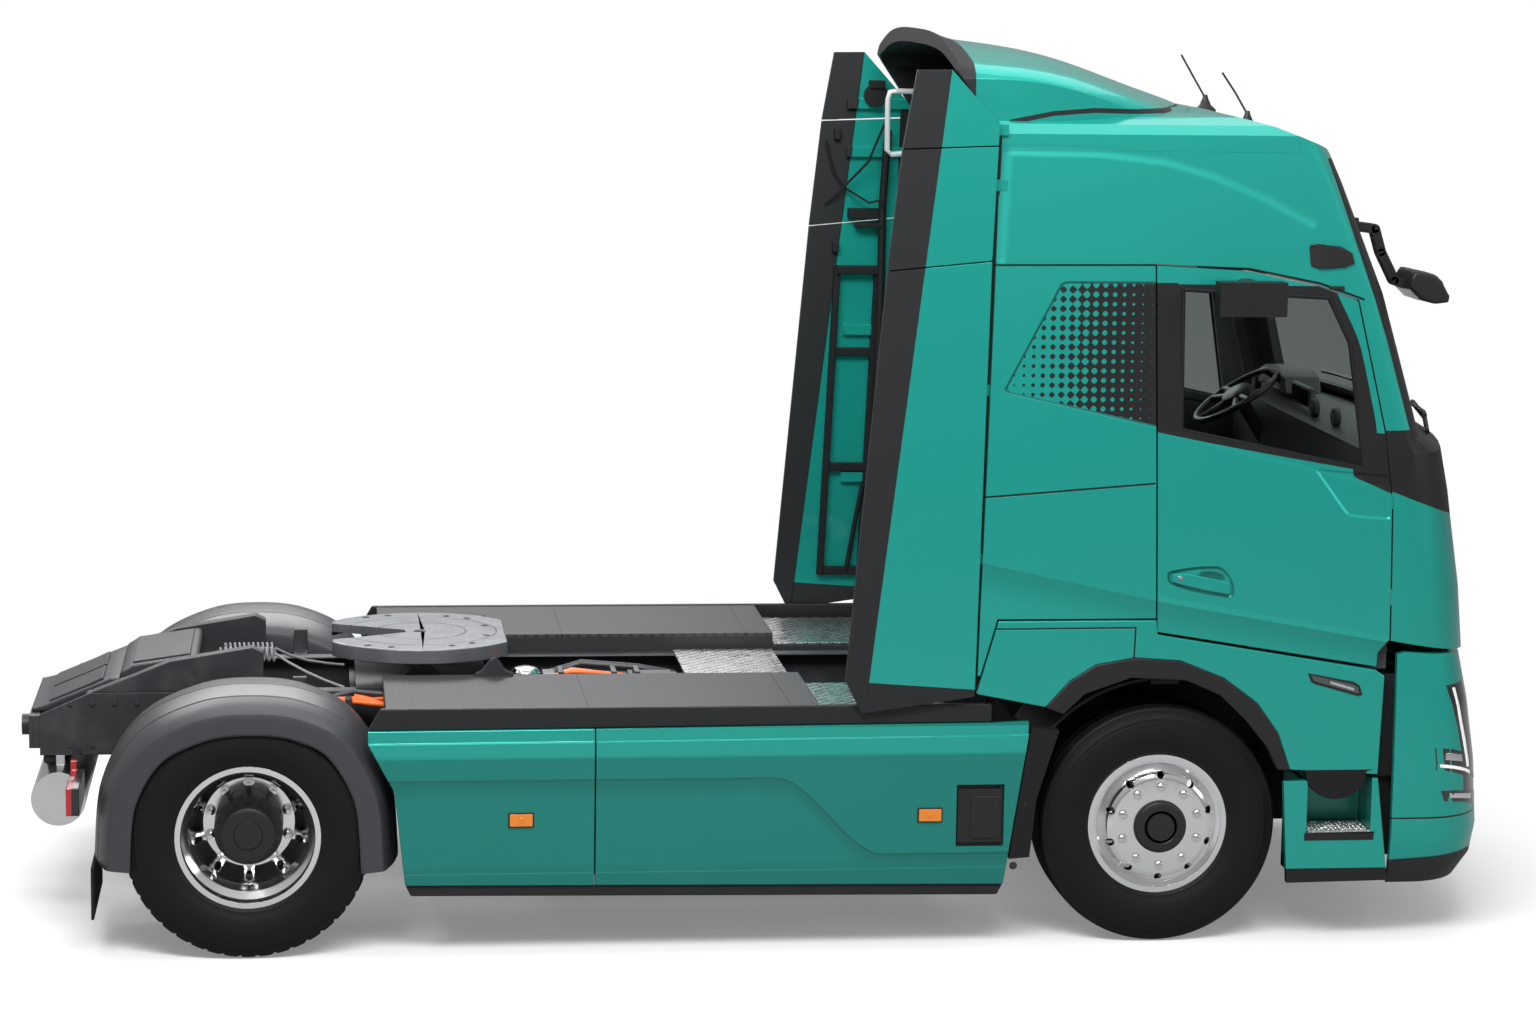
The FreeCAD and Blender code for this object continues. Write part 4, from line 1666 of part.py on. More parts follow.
node("bumper", [joined("BumperAll", [feature("BumperShell", solids_of(bumper_cut))] + both(bracket_cut))])

doc.recompute()

faults = []
for item in doc.Objects:
    if "Invalid" in item.State or "Error" in item.State:
        faults.append(f"{item.Label}: {item.State}")
for item in nodes:
    if item.Shape.isNull() or not item.Shape.isValid() or not item.Shape.Solids:
        faults.append(f"{item.Label}: bad shape")
if faults:
    raise RuntimeError("; ".join(faults))

os.makedirs("parts", exist_ok=True)
for item in nodes:
    item.Shape.exportStep(f"parts/{item.Label}.step")
whole = Part.makeCompound([item.Shape for item in nodes]).BoundBox
print("nodes", len(nodes), "box", [round(v, 1) for v in (whole.XMin, whole.XMax, whole.YMin, whole.YMax, whole.ZMin,
                                                         whole.ZMax)])
for item in nodes:
    print(item.Label, len(item.Shape.Solids), round(item.Shape.Volume / 1e6, 2))
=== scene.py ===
import math

import bmesh
import bpy
from mathutils import Matrix, Vector


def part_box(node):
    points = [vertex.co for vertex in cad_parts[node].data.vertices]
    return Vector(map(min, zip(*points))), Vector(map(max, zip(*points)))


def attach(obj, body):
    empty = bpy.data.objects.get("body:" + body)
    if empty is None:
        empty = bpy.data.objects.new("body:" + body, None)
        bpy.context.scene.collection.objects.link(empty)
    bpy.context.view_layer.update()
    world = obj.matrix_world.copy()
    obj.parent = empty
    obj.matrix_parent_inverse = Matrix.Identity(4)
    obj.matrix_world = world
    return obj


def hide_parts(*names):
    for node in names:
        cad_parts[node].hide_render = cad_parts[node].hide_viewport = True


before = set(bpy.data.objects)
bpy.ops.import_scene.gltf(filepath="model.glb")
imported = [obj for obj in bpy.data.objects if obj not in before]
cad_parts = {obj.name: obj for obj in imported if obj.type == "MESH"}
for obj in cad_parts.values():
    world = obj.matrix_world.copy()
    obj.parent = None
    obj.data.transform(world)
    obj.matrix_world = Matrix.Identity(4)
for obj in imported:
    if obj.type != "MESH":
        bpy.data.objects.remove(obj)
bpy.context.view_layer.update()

# Studio. A pale floor and an open white backdrop, a wide soft lamp overhead, one high on the near side, one
# on the far side and a smaller one ahead, and a long lens standing off the truck's right-hand side, a
# little above its fifth wheel. The truck's own measurements run from its rear axle, whose place in the
# frame comes from the rear wheels.
low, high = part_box("rims_rear_right")
REAR = (low.x + high.x) / 2
scene = bpy.context.scene
lens = bpy.data.cameras.new("long_lens")
lens.lens, lens.sensor_width = 87.74, 36
lens.clip_end = 200
camera = bpy.data.objects.new("camera", lens)
swing, pitch, roll = -6.943, 81.42, 0.88
ahead_of_axle, beside, above_ground = 0.2855, -16.2734, 4.1385
camera.matrix_world = Matrix.Translation((ahead_of_axle + REAR, beside, above_ground))
for degrees, axis in ((swing, "Z"), (pitch, "X"), (roll, "Z")):
    camera.matrix_world = camera.matrix_world @ Matrix.Rotation(math.radians(degrees), 4, axis)
scene.collection.objects.link(camera)
scene.camera = camera
scene.view_settings.view_transform = "Standard"


class Value:
    """One output of a finish's nodes. Sums with numbers or other values add Math nodes."""

    def __init__(self, finish, socket):
        self.finish = finish
        self.socket = socket

    def sum(self, operation, *terms):
        return self.finish.node("ShaderNodeMath", {"operation": operation}, dict(enumerate(terms)))

    def __gt__(self, other):
        return self.sum("GREATER_THAN", self, other)

    def __lt__(self, other):
        return self.sum("LESS_THAN", self, other)

    def __abs__(self):
        return self.sum("ABSOLUTE", self)

    def least(self, other):
        return self.sum("MINIMUM", self, other)

    def most(self, other):
        return self.sum("MAXIMUM", self, other)

    def zigzag(self, width):
        """Rises and falls between 0 and a width."""
        return self.sum("PINGPONG", self, width)

    def ramp(self, start, end):
        return self.finish.node("ShaderNodeMapRange", {"interpolation_type": "SMOOTHSTEP"},
                                {"Value": self, "From Min": start, "From Max": end})


for name, kind in (("add", "ADD"), ("sub", "SUBTRACT"), ("mul", "MULTIPLY"), ("truediv", "DIVIDE"),
                   ("pow", "POWER")):
    setattr(Value, f"__{name}__", lambda self, other, kind=kind: self.sum(kind, self, other))
    setattr(Value, f"__r{name}__", lambda self, other, kind=kind: self.sum(kind, other, self))


class Finish:
    """A material built on one Principled shader. A grain is a fine bump: its scale, detail and strength."""

    def __init__(self, name, colour, roughness, metallic=0.0, grain=None, **fixed):
        self.material = bpy.data.materials.new(name)
        self.material.use_nodes = True
        self.tree = self.material.node_tree
        self.shader = next(n for n in self.tree.nodes if n.type == "BSDF_PRINCIPLED")
        self.shader.inputs["Base Color"].default_value = (*colour, 1)
        self.shader.inputs["Roughness"].default_value = roughness
        self.shader.inputs["Metallic"].default_value = metallic
        for socket, value in fixed.items():
            self.shader.inputs[socket.replace("_", " ").title().replace("Ior", "IOR")].default_value = value
        if grain:
            scale, detail, strength = grain
            self.bump(self.noise(scale, detail), strength)

    def node(self, kind, settings, sockets, out=0):
        made = self.tree.nodes.new(kind)
        for name, value in settings.items():
            setattr(made, name, value)
        for name, value in sockets.items():
            if isinstance(value, Value):
                self.tree.links.new(value.socket, made.inputs[name])
            else:
                made.inputs[name].default_value = value
        return Value(self, made.outputs[out])

    def drive(self, socket, value):
        self.tree.links.new(value.socket, self.shader.inputs[socket])

    def place(self):
        return self.node("ShaderNodeTexCoord", {}, {}, "Object")

    def along(self, axis):
        """The place along one axis: x from the rear axle, y from the middle, z from the ground."""
        found = self.node("ShaderNodeSeparateXYZ", {}, {"Vector": self.place()}, axis)
        return found - REAR if axis == "X" else found

    def places(self):
        """The place along x, its distance from the middle and its height."""
        return self.along("X"), abs(self.along("Y")), self.along("Z")

    def noise(self, scale, detail):
        return self.node("ShaderNodeTexNoise", {}, {"Vector": self.place(), "Scale": scale,
                                                    "Detail": detail}, "Fac")

    def paint(self, colour, *layers):
        """Base Color: one colour with others laid over it, each by a share from 0 to 1."""
        colour = (*colour, 1)
        for share, over in layers:
            ends = {0: share, 6: colour, 7: (*over, 1)}
            colour = self.node("ShaderNodeMix", {"data_type": "RGBA"}, ends, 2)
        self.drive("Base Color", colour)

    def lining(self, x, z):
        """1 on the faces of a shell that look in towards a middle line, and 0 on its outer faces."""
        line = (x + REAR, 0, z)
        out = self.node("ShaderNodeVectorMath", {"operation": "SUBTRACT"}, {0: self.place(), 1: line})
        way = self.node("ShaderNodeTexCoord", {}, {}, "Normal")
        return self.node("ShaderNodeVectorMath", {"operation": "DOT_PRODUCT"}, {0: out, 1: way}, "Value") < 0

    def bump(self, height, strength, depth=0.001):
        self.drive("Normal", self.node("ShaderNodeBump", {}, {"Strength": strength, "Distance": depth,
                                                              "Height": height}))


world = bpy.data.worlds.new("open_white")
world.use_nodes = True
scene.world = world
sky = world.node_tree
dim = sky.nodes["Background"]
white, path, heading, parts, brighter, seen, backdrop = [sky.nodes.new("ShaderNode" + kind) for kind in (
    "Background", "LightPath", "TexCoord", "SeparateXYZ", "MapRange", "Math", "MixShader")]
white.inputs["Strength"].default_value = 1.0
for ground in (white, dim):
    ground.inputs["Color"].default_value = (1, 1, 1, 1)
for limit, level in (("From Min", -0.25), ("From Max", 0.85), ("To Min", 0.22), ("To Max", 0.50)):
    brighter.inputs[limit].default_value = level
seen.operation = "MAXIMUM"
for out, name, into, socket in (
        (heading, "Generated", parts, 0), (parts, "Z", brighter, "Value"), (brighter, 0, dim, "Strength"),
        (path, "Is Camera Ray", seen, 0), (path, "Is Transmission Ray", seen, 1), (seen, 0, backdrop, "Fac"),
        (dim, 0, backdrop, 1), (white, 0, backdrop, 2), (backdrop, 0, sky.nodes["World Output"], "Surface")):
    sky.links.new(out.outputs[name], into.inputs[socket])

for name, spot, aim, width, depth, power in (
        ("roof_lamp", (0.0, 0.5, 8.5), (0.0, 0.0, 1.0), 11.0, 6.0, 340),
        ("side_lamp", (-1.5, -7.2, 8.4), (0.8, 0.0, 3.0), 8.0, 3.0, 1180),
        ("front_lamp", (10.5, -5.5, 4.5), (1.5, 0.0, 1.6), 4.0, 4.0, 170),
        ("far_lamp", (-2.5, 9.0, 7.0), (0.4, 0.0, 2.2), 8.0, 3.0, 560)):
    lamp = bpy.data.lights.new(name, "AREA")
    lamp.shape = "RECTANGLE"
    lamp.size = width
    lamp.size_y = depth
    lamp.energy = power
    holder = bpy.data.objects.new(name, lamp)
    holder.location = spot
    holder.rotation_euler = (Vector(aim) - Vector(spot)).to_track_quat("-Z", "Y").to_euler()
    scene.collection.objects.link(holder)

floor_mesh = bpy.data.meshes.new("floor")
floor_mesh.from_pydata([(-60, -60, 0), (60, -60, 0), (60, 60, 0), (-60, 60, 0)], [], [(0, 1, 2, 3)])
floor = bpy.data.objects.new("floor", floor_mesh)
scene.collection.objects.link(floor)
# Near the truck the floor takes its shadow; further out it fades into the white around it.
pale = Finish("pale_floor", (0.93, 0.93, 0.93), 0.9)
glow = pale.tree.nodes.new("ShaderNodeEmission")
glow.inputs["Strength"].default_value = 1.0
eye = pale.node("ShaderNodeLightPath", {}, {}, "Is Camera Ray")
pale.paint((0.32, 0.32, 0.32), (eye, (0.95, 0.95, 0.95)))
reach = ((pale.along("X") - 2.2) / 4.6) ** 2 + (pale.along("Y") / 3.0) ** 2
fade = (reach.ramp(0.75, 1.9) * 0.78 + 0.22) * eye
join = pale.tree.nodes.new("ShaderNodeMixShader")
surface = next(n for n in pale.tree.nodes if n.type == "OUTPUT_MATERIAL").inputs["Surface"]
for out, into in ((fade.socket, join.inputs["Fac"]), (pale.shader.outputs[0], join.inputs[1]),
                  (glow.outputs[0], join.inputs[2]), (join.outputs[0], surface)):
    pale.tree.links.new(out, into)
floor_mesh.materials.append(pale.material)

# Frame. Pressed steel rails, cross members, rear box and ramps, bolted together through two rows of holes
# and painted a satin dark grey, with road dust on the paint. The axles and the steering wear the same
# paint.


class Form:
    """Solid shapes gathered into one mesh, in metres, with x from the rear axle. A way of -1 mirrors them."""

    def __init__(self, way=1):
        self.mesh = bmesh.new()
        self.way = way

    def ring(self, spots):
        return [self.mesh.verts.new((x + REAR, self.way * y, z)) for x, y, z in spots]

    def between(self, *rings, caps=True):
        """Skins equal rings of points one to the next."""
        made = [self.ring(r) for r in rings]
        count = len(made[0])
        for first, second in zip(made, made[1:]):
            for i in range(count):
                j = (i + 1) % count
                self.mesh.faces.new((first[i], first[j], second[j], second[i]))
        if caps:
            self.mesh.faces.new(list(reversed(made[0])))
            self.mesh.faces.new(made[-1])

    def plate(self, outline, y0, y1):
        """A plate seen from the side: outline of (x, z)."""
        self.between([(x, y0, z) for x, z in outline], [(x, y1, z) for x, z in outline])

    def slab(self, outline, z0, z1):
        """A plate seen from above: outline of (x, y)."""
        self.between([(x, y, z0) for x, y in outline], [(x, y, z1) for x, y in outline])

    def bar(self, outline, x0, x1):
        """A bar seen from the front: outline of (y, z)."""
        self.between([(x0, y, z) for y, z in outline], [(x1, y, z) for y, z in outline])

    def block(self, x0, x1, y0, y1, z0, z1):
        self.slab([(x0, y0), (x1, y0), (x1, y1), (x0, y1)], z0, z1)

    def turned(self, centre, axis, profile, steps):
        """A shape turned about an axis through a centre: profile of (along, radius)."""
        x, y, z = centre
        rings = []
        for along, radius in profile:
            ring = []
            for k in range(steps):
                c = radius * math.cos(2 * math.pi * k / steps)
                s = radius * math.sin(2 * math.pi * k / steps)
                ring.append({"X": (x + along, y + c, z + s), "Y": (x + c, y + along, z + s),
                             "Z": (x + c, y + s, z + along)}[axis])
            rings.append(ring)
        self.between(*rings)

    def tube(self, path, radius, sides=8):
        """A round rod along a path of points."""
        spots = [Vector(p) for p in path]
        rings = []
        side = None
        for i, spot in enumerate(spots):
            way = (spots[min(i + 1, len(spots) - 1)] - spots[max(i - 1, 0)]).normalized()
            if side is None:
                side = way.orthogonal().normalized()
            side = (side - way * side.dot(way)).normalized()
            other = way.cross(side)
            angles = [2 * math.pi * k / sides for k in range(sides)]
            rings.append([spot + (side * math.cos(a) + other * math.sin(a)) * radius for a in angles])
        self.between(*rings)

    def both(self):
        """Adds the same shapes on the other side of the middle."""
        mesh = self.mesh
        copy = bmesh.ops.duplicate(mesh, geom=mesh.verts[:] + mesh.edges[:] + mesh.faces[:])["geom"]
        for spot in copy:
            if isinstance(spot, bmesh.types.BMVert):
                spot.co.y = -spot.co.y
        bmesh.ops.reverse_faces(mesh, faces=[face for face in copy if isinstance(face, bmesh.types.BMFace)])

    def done(self, name, body, finish, slot, edge=0.003, replaces=(), smooth=0.6):
        """Closes the mesh as a piece that rides on a body, with its edges rounded."""
        bmesh.ops.remove_doubles(self.mesh, verts=self.mesh.verts[:], dist=0.00005)
        bmesh.ops.recalc_face_normals(self.mesh, faces=self.mesh.faces[:])
        data = bpy.data.meshes.new(name)
        self.mesh.to_mesh(data)
        self.mesh.free()
        made = bpy.data.objects.new(name, data)
        scene.collection.objects.link(made)
        data.materials.append(finish.material)
        soften(made, edge, smooth)
        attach(made, body)
        if replaces:
            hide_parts(*replaces)
        return made


def soften(part, edge, smooth):
    """Smooth shading with rounded corners."""
    part.data.polygons.foreach_set("use_smooth", [True] * len(part.data.polygons))
    if edge:
        bevel = part.modifiers.new("edges", "BEVEL")
        bevel.width = edge
        bevel.segments = 2
        bevel.limit_method = "ANGLE"
        bevel.angle_limit = smooth
        bevel.use_clamp_overlap = True
        weight = part.modifiers.new("flats", "WEIGHTED_NORMAL")
        weight.keep_sharp = True
    else:
        split = part.modifiers.new("corners", "EDGE_SPLIT")
        split.split_angle = smooth


def dress(node, finish, edge=0.003, smooth=0.6):
    """Gives a part of the frame its finish and rounded corners."""
    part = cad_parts[node]
    part.data.materials.clear()
    part.data.materials.append(finish.material)
    if "custom_normal" in part.data.attributes:
        part.data.attributes.remove(part.data.attributes["custom_normal"])
    weld = part.modifiers.new("weld", "WELD")
    weld.merge_threshold = 0.0001
    soften(part, edge, smooth)


frame_paint = Finish("frame_paint", (0.022, 0.0225, 0.025), 0.5, 0.2, (90, 3, 0.12), specular_ior_level=0.35)
dust = frame_paint.noise(6, 4).ramp(0.45, 0.8)
frame_paint.paint((0.035, 0.036, 0.04), (dust * 0.4, (0.10, 0.10, 0.105)))
frame_paint.drive("Roughness", dust * 0.2 + 0.42)
for name in ("frame_rails", "crossmembers", "frame_ramps", "front_beam", "front_axle_beam", "rear_axle",
             "knuckle_right", "knuckle_left", "tie_rod", "fifth_wheel_base"):
    dress(name, frame_paint, 0.004)
near_black = (0.012, 0.012, 0.013)
bolt_pitch, bolt_radius, bolt_head = 0.094, 0.011, 0.009
rail_tail, rail_face, bolt_rows = -0.76, 0.4255, (0.735, 0.915)
bolts = Form()
for side in (-1, 1):
    for k in range(60):
        for z in bolt_rows:
            if k % 5 != 4:
                bolts.turned((rail_tail + k * bolt_pitch, side * rail_face, z), "Y",
                             [(0, bolt_radius), (side * bolt_head, bolt_radius)], 6)
bolts.done("frame_bolts", "chassis", frame_paint, "chassis_paint", 0.001)

# Rear covers. Two smooth plastic covers close the frame between the rails behind the coupling, each with a
# raised field; lines and the tail's small valves hang under the rear box.
cover_plastic = Finish("cover_plastic", (0.034, 0.035, 0.040), 0.36, 0, (260, 2, 0.15),
                       specular_ior_level=0.45)
dress("frame_covers", cover_plastic, 0.008)
panels = Form()
for y0, y1 in ((-0.30, -0.02), (0.02, 0.30)):
    panels.plate([(-0.855, 0.896), (-0.685, 0.966), (-0.625, 0.993), (-0.63, 1.004), (-0.69, 0.976),
                  (-0.858, 0.906)], y0, y1)
panels.plate([(-0.500, 1.060), (-0.255, 1.095), (-0.258, 1.106), (-0.503, 1.071)], -0.29, 0.29)
panels.done("cover_panels", "chassis", cover_plastic, "grey_casing", 0.004)

valves = Form()
for y, z, r in ((-0.33, 0.66, 0.028), (-0.26, 0.64, 0.022), (-0.20, 0.67, 0.026), (0.24, 0.66, 0.03)):
    valves.turned((-0.835, y, z), "X", [(-0.045, r * 0.7), (-0.03, r), (0.03, r), (0.045, r * 0.6)], 16)
    valves.tube([(-0.80, y, z), (-0.76, y, z + 0.03), (-0.75, y, z + 0.09)], 0.009)
for y in (-0.36, -0.15, 0.30):
    valves.tube([(-0.80, y, 0.70), (-0.83, y, 0.665), (-0.80, y, 0.645)], 0.007)
valves.done("tail_valves", "chassis", frame_paint, "chassis_paint", 0.002)

# Spring hoses. Coiled grey plastic air and signal lines between the rear box and the coupling, laid on the
# frame, each with a tail that dips under the plate to its union.
grey_hose = Finish("grey_hose", (0.22, 0.22, 0.235), 0.45, 0, (180, 2, 0.1))
hoses = Form()
turns, turn_steps, coil_height = 11, 10, 1.058
for y, radius, x0, x1 in ((-0.10, 0.030, -0.14, 0.10), (0.02, 0.028, -0.12, 0.10)):
    coil = []
    for k in range(turns * turn_steps + 1):
        a = k / turn_steps * 2 * math.pi
        x = x0 + (x1 - x0) * k / (turns * turn_steps)
        coil.append((x, y + radius * math.cos(a), coil_height + radius * math.sin(a)))
    hoses.tube(coil, 0.0055, 5)
for side, start in ((-1, 0.070), (1, 0.048)):
    hoses.tube([(0.10, side * start, coil_height), (0.16, side * 0.09, 1.02), (0.24, side * 0.14, 0.985),
                (0.32, side * 0.2, 0.96), (0.40, side * 0.26, 0.94)], 0.0065)
hoses.done("spring_hoses", "chassis", grey_hose, "grey_casing", 0, smooth=1.0)

# High-voltage cables. Orange-sheathed looms over the centre pack and beside the rear wheels, held by black
# clips and boxes, with the brake air's polished dryer canister beside them.
orange = Finish("orange_sheath", (0.78, 0.13, 0.008), 0.38, 0, (140, 2, 0.12))
cables = Form()
for k, y in enumerate((-0.34, -0.315, -0.29)):
    cables.tube([(1.26, y, 0.94), (1.30, y, 1.0 - 0.006 * k), (1.38, y - 0.01, 1.02),
                 (1.50, y - 0.03, 1.018 - 0.005 * k), (1.60, y - 0.04, 1.0), (1.68, y - 0.035, 0.975),
                 (1.72, y - 0.03, 0.94)], 0.011)
for k, y in enumerate((-0.53, -0.555)):
    cables.tube([(0.30, y, 0.90), (0.36, y - 0.01, 0.945), (0.46, y - 0.02, 0.95 - 0.01 * k),
                 (0.55, y - 0.05, 0.935), (0.66, y - 0.06, 0.925)], 0.012)
    cables.tube([(0.44, y + 0.03, 0.96), (0.52, y + 0.01, 0.93 + 0.015 * k), (0.62, y - 0.02, 0.96),
                 (0.70, y - 0.04, 0.95)], 0.009)
cables.done("orange_cables", "chassis", orange, "grey_casing", 0, smooth=1.0)

looms = Form()
for x in (1.33, 1.56, 1.66):
    looms.block(x - 0.012, x + 0.012, -0.40, -0.26, 0.985, 1.03)
looms.block(1.60, 1.85, -0.36, -0.18, 0.92, 0.985)
looms.block(1.63, 1.82, -0.33, -0.21, 0.985, 1.0)
looms.tube([(1.30, -0.22, 0.93), (1.42, -0.2, 0.985), (1.62, -0.22, 0.98), (1.8, -0.24, 0.95)], 0.014)
looms.tube([(1.28, 0.05, 0.93), (1.45, 0.08, 0.975), (1.7, 0.02, 0.965), (1.86, 0.05, 0.93)], 0.018)
looms.block(0.40, 0.43, -0.60, -0.50, 0.90, 0.96)
looms.block(0.58, 0.60, -0.62, -0.52, 0.90, 0.95)
looms.tube([(0.28, -0.50, 0.93), (0.44, -0.52, 0.975), (0.60, -0.55, 0.965), (0.70, -0.57, 0.94)], 0.013)
looms.done("loom_clips", "chassis", cover_plastic, "grey_casing", 0.003)

reservoir = Form()
reservoir.turned((1.18, -0.30, 0.93), "Z",
                 [(0, 0.055), (0.01, 0.062), (0.085, 0.062), (0.1, 0.05), (0.108, 0.02)], 28)
reservoir.block(1.255, 1.31, -0.37, -0.23, 0.93, 1.01)
polished = Finish("polished_alloy", (0.86, 0.86, 0.87), 0.16, 1.0, (30, 2, 0.03))
polished.drive("Roughness", polished.noise(14, 3) * 0.16 + 0.08)
reservoir.done("dryer_canister", "chassis", polished, "polished_alloy", 0.003)

# Suspension and packs. Ribbed black rubber air springs over the rear axle, and battery packs in ribbed cast
# cases bolted between the axles.
bellows_rubber = Finish("bellows_rubber", (0.012, 0.012, 0.013), 0.62, 0, (120, 3, 0.2),
                        specular_ior_level=0.3)
dress("suspension", bellows_rubber, 0.005)
casing = Finish("pack_casing", (0.028, 0.029, 0.032), 0.5, 0, specular_ior_level=0.4)
rib_pitch = 0.06
ribs = casing.along("X").zigzag(rib_pitch) / rib_pitch
casing.bump(ribs.ramp(0.35, 0.65) + casing.noise(200, 2) * 0.1, 0.35, 0.004)
dress("battery_packs", casing, 0.006)

# Air tank. A spun aluminium vessel strapped across the tail, dull and bright in patches, with a welded seam
# round one end.
tank_skin = Finish("tank_alloy", (0.80, 0.80, 0.81), 0.22, 1.0)
tank_skin.drive("Roughness", tank_skin.noise(9, 4) * 0.22 + 0.12)
seam = abs(tank_skin.along("Y") + 0.42) < 0.003
tank_skin.bump(1 - seam, 0.5, 0.002)
dress("air_tank", tank_skin, 0.02)

# Wheels. Forged and turned aluminium discs with ten round hand holes, chromed nut caps on one bolt circle
# and dark cast hubs. The rear ones are twins, dished inward, with the hub's nose in the middle.
FRONT_AXLE = 3.8
AXLE_HEIGHT = 0.507
NUT_CIRCLE, FLANGE_CIRCLE, FLANGE_BOLTS = 0.1675, 0.127, 16
SIDES = (("right", -1), ("left", 1))
ALLOY = (0.88, 0.88, 0.89)


def wheel_alloy(name, middle, hub_radius):
    made = Finish(name, ALLOY, 0.13, 1.0)
    out = ((made.along("X") - middle) ** 2 + (made.along("Z") - AXLE_HEIGHT) ** 2) ** 0.5
    hub = out < hub_radius
    dull = made.noise(11, 3)
    made.paint(ALLOY, (hub, near_black))
    made.drive("Metallic", 1 - hub)
    made.drive("Roughness", hub * 0.35 + dull * 0.14 + 0.06)
    lathe_marks = out * 2200
    made.bump(lathe_marks.sum("SINE", lathe_marks) * 0.5 + 0.5, 0.02, 0.0004)
    return made


front_alloy = wheel_alloy("front_wheel_alloy", FRONT_AXLE, 0.1045)
rear_alloy = wheel_alloy("rear_wheel_alloy", 0.0, 0.1415)
nut_chrome = Finish("nut_chrome", (0.80, 0.80, 0.81), 0.12, 1.0, (90, 2, 0.03))
nut_chrome.drive("Roughness", nut_chrome.noise(60, 2) * 0.15 + 0.08)
hub_cast = Finish("hub_casting", (0.014, 0.014, 0.015), 0.38, 0, (220, 3, 0.15), specular_ior_level=0.4)


def nut_ring(form, middle, out, profile):
    """Ten nuts on their circle round a wheel's axle."""
    for k in range(10):
        a = math.radians(18 + 36 * k)
        spot = (middle + NUT_CIRCLE * math.cos(a), out, AXLE_HEIGHT + NUT_CIRCLE * math.sin(a))
        form.turned(spot, "Y", profile, 12)


for side, way in SIDES:
    dress(f"rim_front_{side}", front_alloy, 0.0015, 0.5)
    dress(f"rims_rear_{side}", rear_alloy, 0.0015, 0.5)
    nuts, cap, studs, nose = [Form(way) for k in range(4)]
    nut_ring(nuts, FRONT_AXLE, 1.2092, [(0, 0.021), (0.006, 0.0205), (0.007, 0.0165), (0.018, 0.0155),
                                        (0.021, 0.010), (0.0215, 0)])
    cap.turned((FRONT_AXLE, 1.205, AXLE_HEIGHT), "Y",
               [(0, 0.112), (0.012, 0.112), (0.014, 0.106), (0.0275, 0.105), (0.031, 0.098), (0.031, 0.072),
                (0.027, 0.068), (0.027, 0.06), (0.034, 0.056), (0.036, 0.03), (0.0365, 0)], 48)
    nut_ring(studs, 0, 0.9156, [(0, 0.023), (0.008, 0.023), (0.009, 0.018), (0.03, 0.0175), (0.033, 0.012),
                                (0.05, 0.011), (0.052, 0)])
    nose.turned((0, 1.158, AXLE_HEIGHT), "Y", [(0, 0.111), (0.004, 0.105), (0.006, 0.085), (0.004, 0.06),
                                               (0.012, 0.056), (0.014, 0.02), (0.014, 0)], 40)
    for k in range(FLANGE_BOLTS):
        a = 2 * math.pi * k / FLANGE_BOLTS
        nose.turned((FLANGE_CIRCLE * math.cos(a), 1.0855, AXLE_HEIGHT + FLANGE_CIRCLE * math.sin(a)), "Y",
                    [(0, 0.008), (0.008, 0.008)], 6)
    for form, name, axle, finish, slot in ((nuts, "front_nuts", "wheel_front", nut_chrome, "polished_alloy"),
                                           (cap, "front_cap", "wheel_front", hub_cast, "cast_plate"),
                                           (studs, "rear_nuts", "wheels_rear", nut_chrome, "polished_alloy"),
                                           (nose, "rear_nose", "wheels_rear", hub_cast, "cast_plate")):
        form.done(f"{name}_{side}", f"{axle}_{side}", finish, slot, 0, smooth=0.5)

# Tyres. Wide steel-belted rubber, moulded with ribs and bead lines on their walls: plain ribs in front, and
# ribs cut across for drive behind.
tyre_black = Finish("tyre_rubber", (0.006, 0.006, 0.0063), 0.62, 0, (70, 4, 0.12), specular_ior_level=0.2)
tyre_black.drive("Roughness", tyre_black.noise(5, 3) * 0.16 + 0.52)


def tyre(form, middle, y, lugs, depth):
    """A tyre turned from its section, grooved round, with cross cuts in the ribs if it has lugs."""
    side = [(0.094, 0.287), (0.122, 0.291), (0.131, 0.302), (0.138, 0.310), (0.139, 0.318), (0.1455, 0.330),
            (0.1535, 0.362), (0.1555, 0.392), (0.1545, 0.415), (0.151, 0.440), (0.1495, 0.442),
            (0.1480, 0.456), (0.1465, 0.458), (0.142, 0.478), (0.1405, 0.4795), (0.139, 0.492),
            (0.133, 0.499), (0.118, 0.5035)]
    tread_radius, crown, tread_half, groove_depth = 0.5055, 0.0015, 0.11, 0.014
    tread = []
    for edge in (0.085, 0.030) if lugs else (0.092, 0.034):
        tread += [(edge + 0.007, 0.0, True), (edge + 0.004, 1.0, False), (edge - 0.004, 1.0, False),
                  (edge - 0.007, 0.0, True)]
    half = [(w, r, False) for w, r in side]
    half += [(w, tread_radius + crown * (1 - w / tread_half) - groove * groove_depth, top)
             for w, groove, top in tread]
    full = half + [(-w, r, top) for w, r, top in reversed(half)]
    steps = lugs * 6 if lugs else 150
    rings = []
    for w, r, top in full:
        ring = []
        for k in range(steps):
            a = 2 * math.pi * k / steps
            radius = r
            if lugs and (top or abs(w) in (0.118, 0.133)) and (k + (0 if w > 0 else 3)) % 6 == 0:
                radius -= depth
            ring.append((middle + radius * math.cos(a), y + w, AXLE_HEIGHT + radius * math.sin(a)))
        rings.append(ring)
    form.between(*rings, rings[0], caps=False)


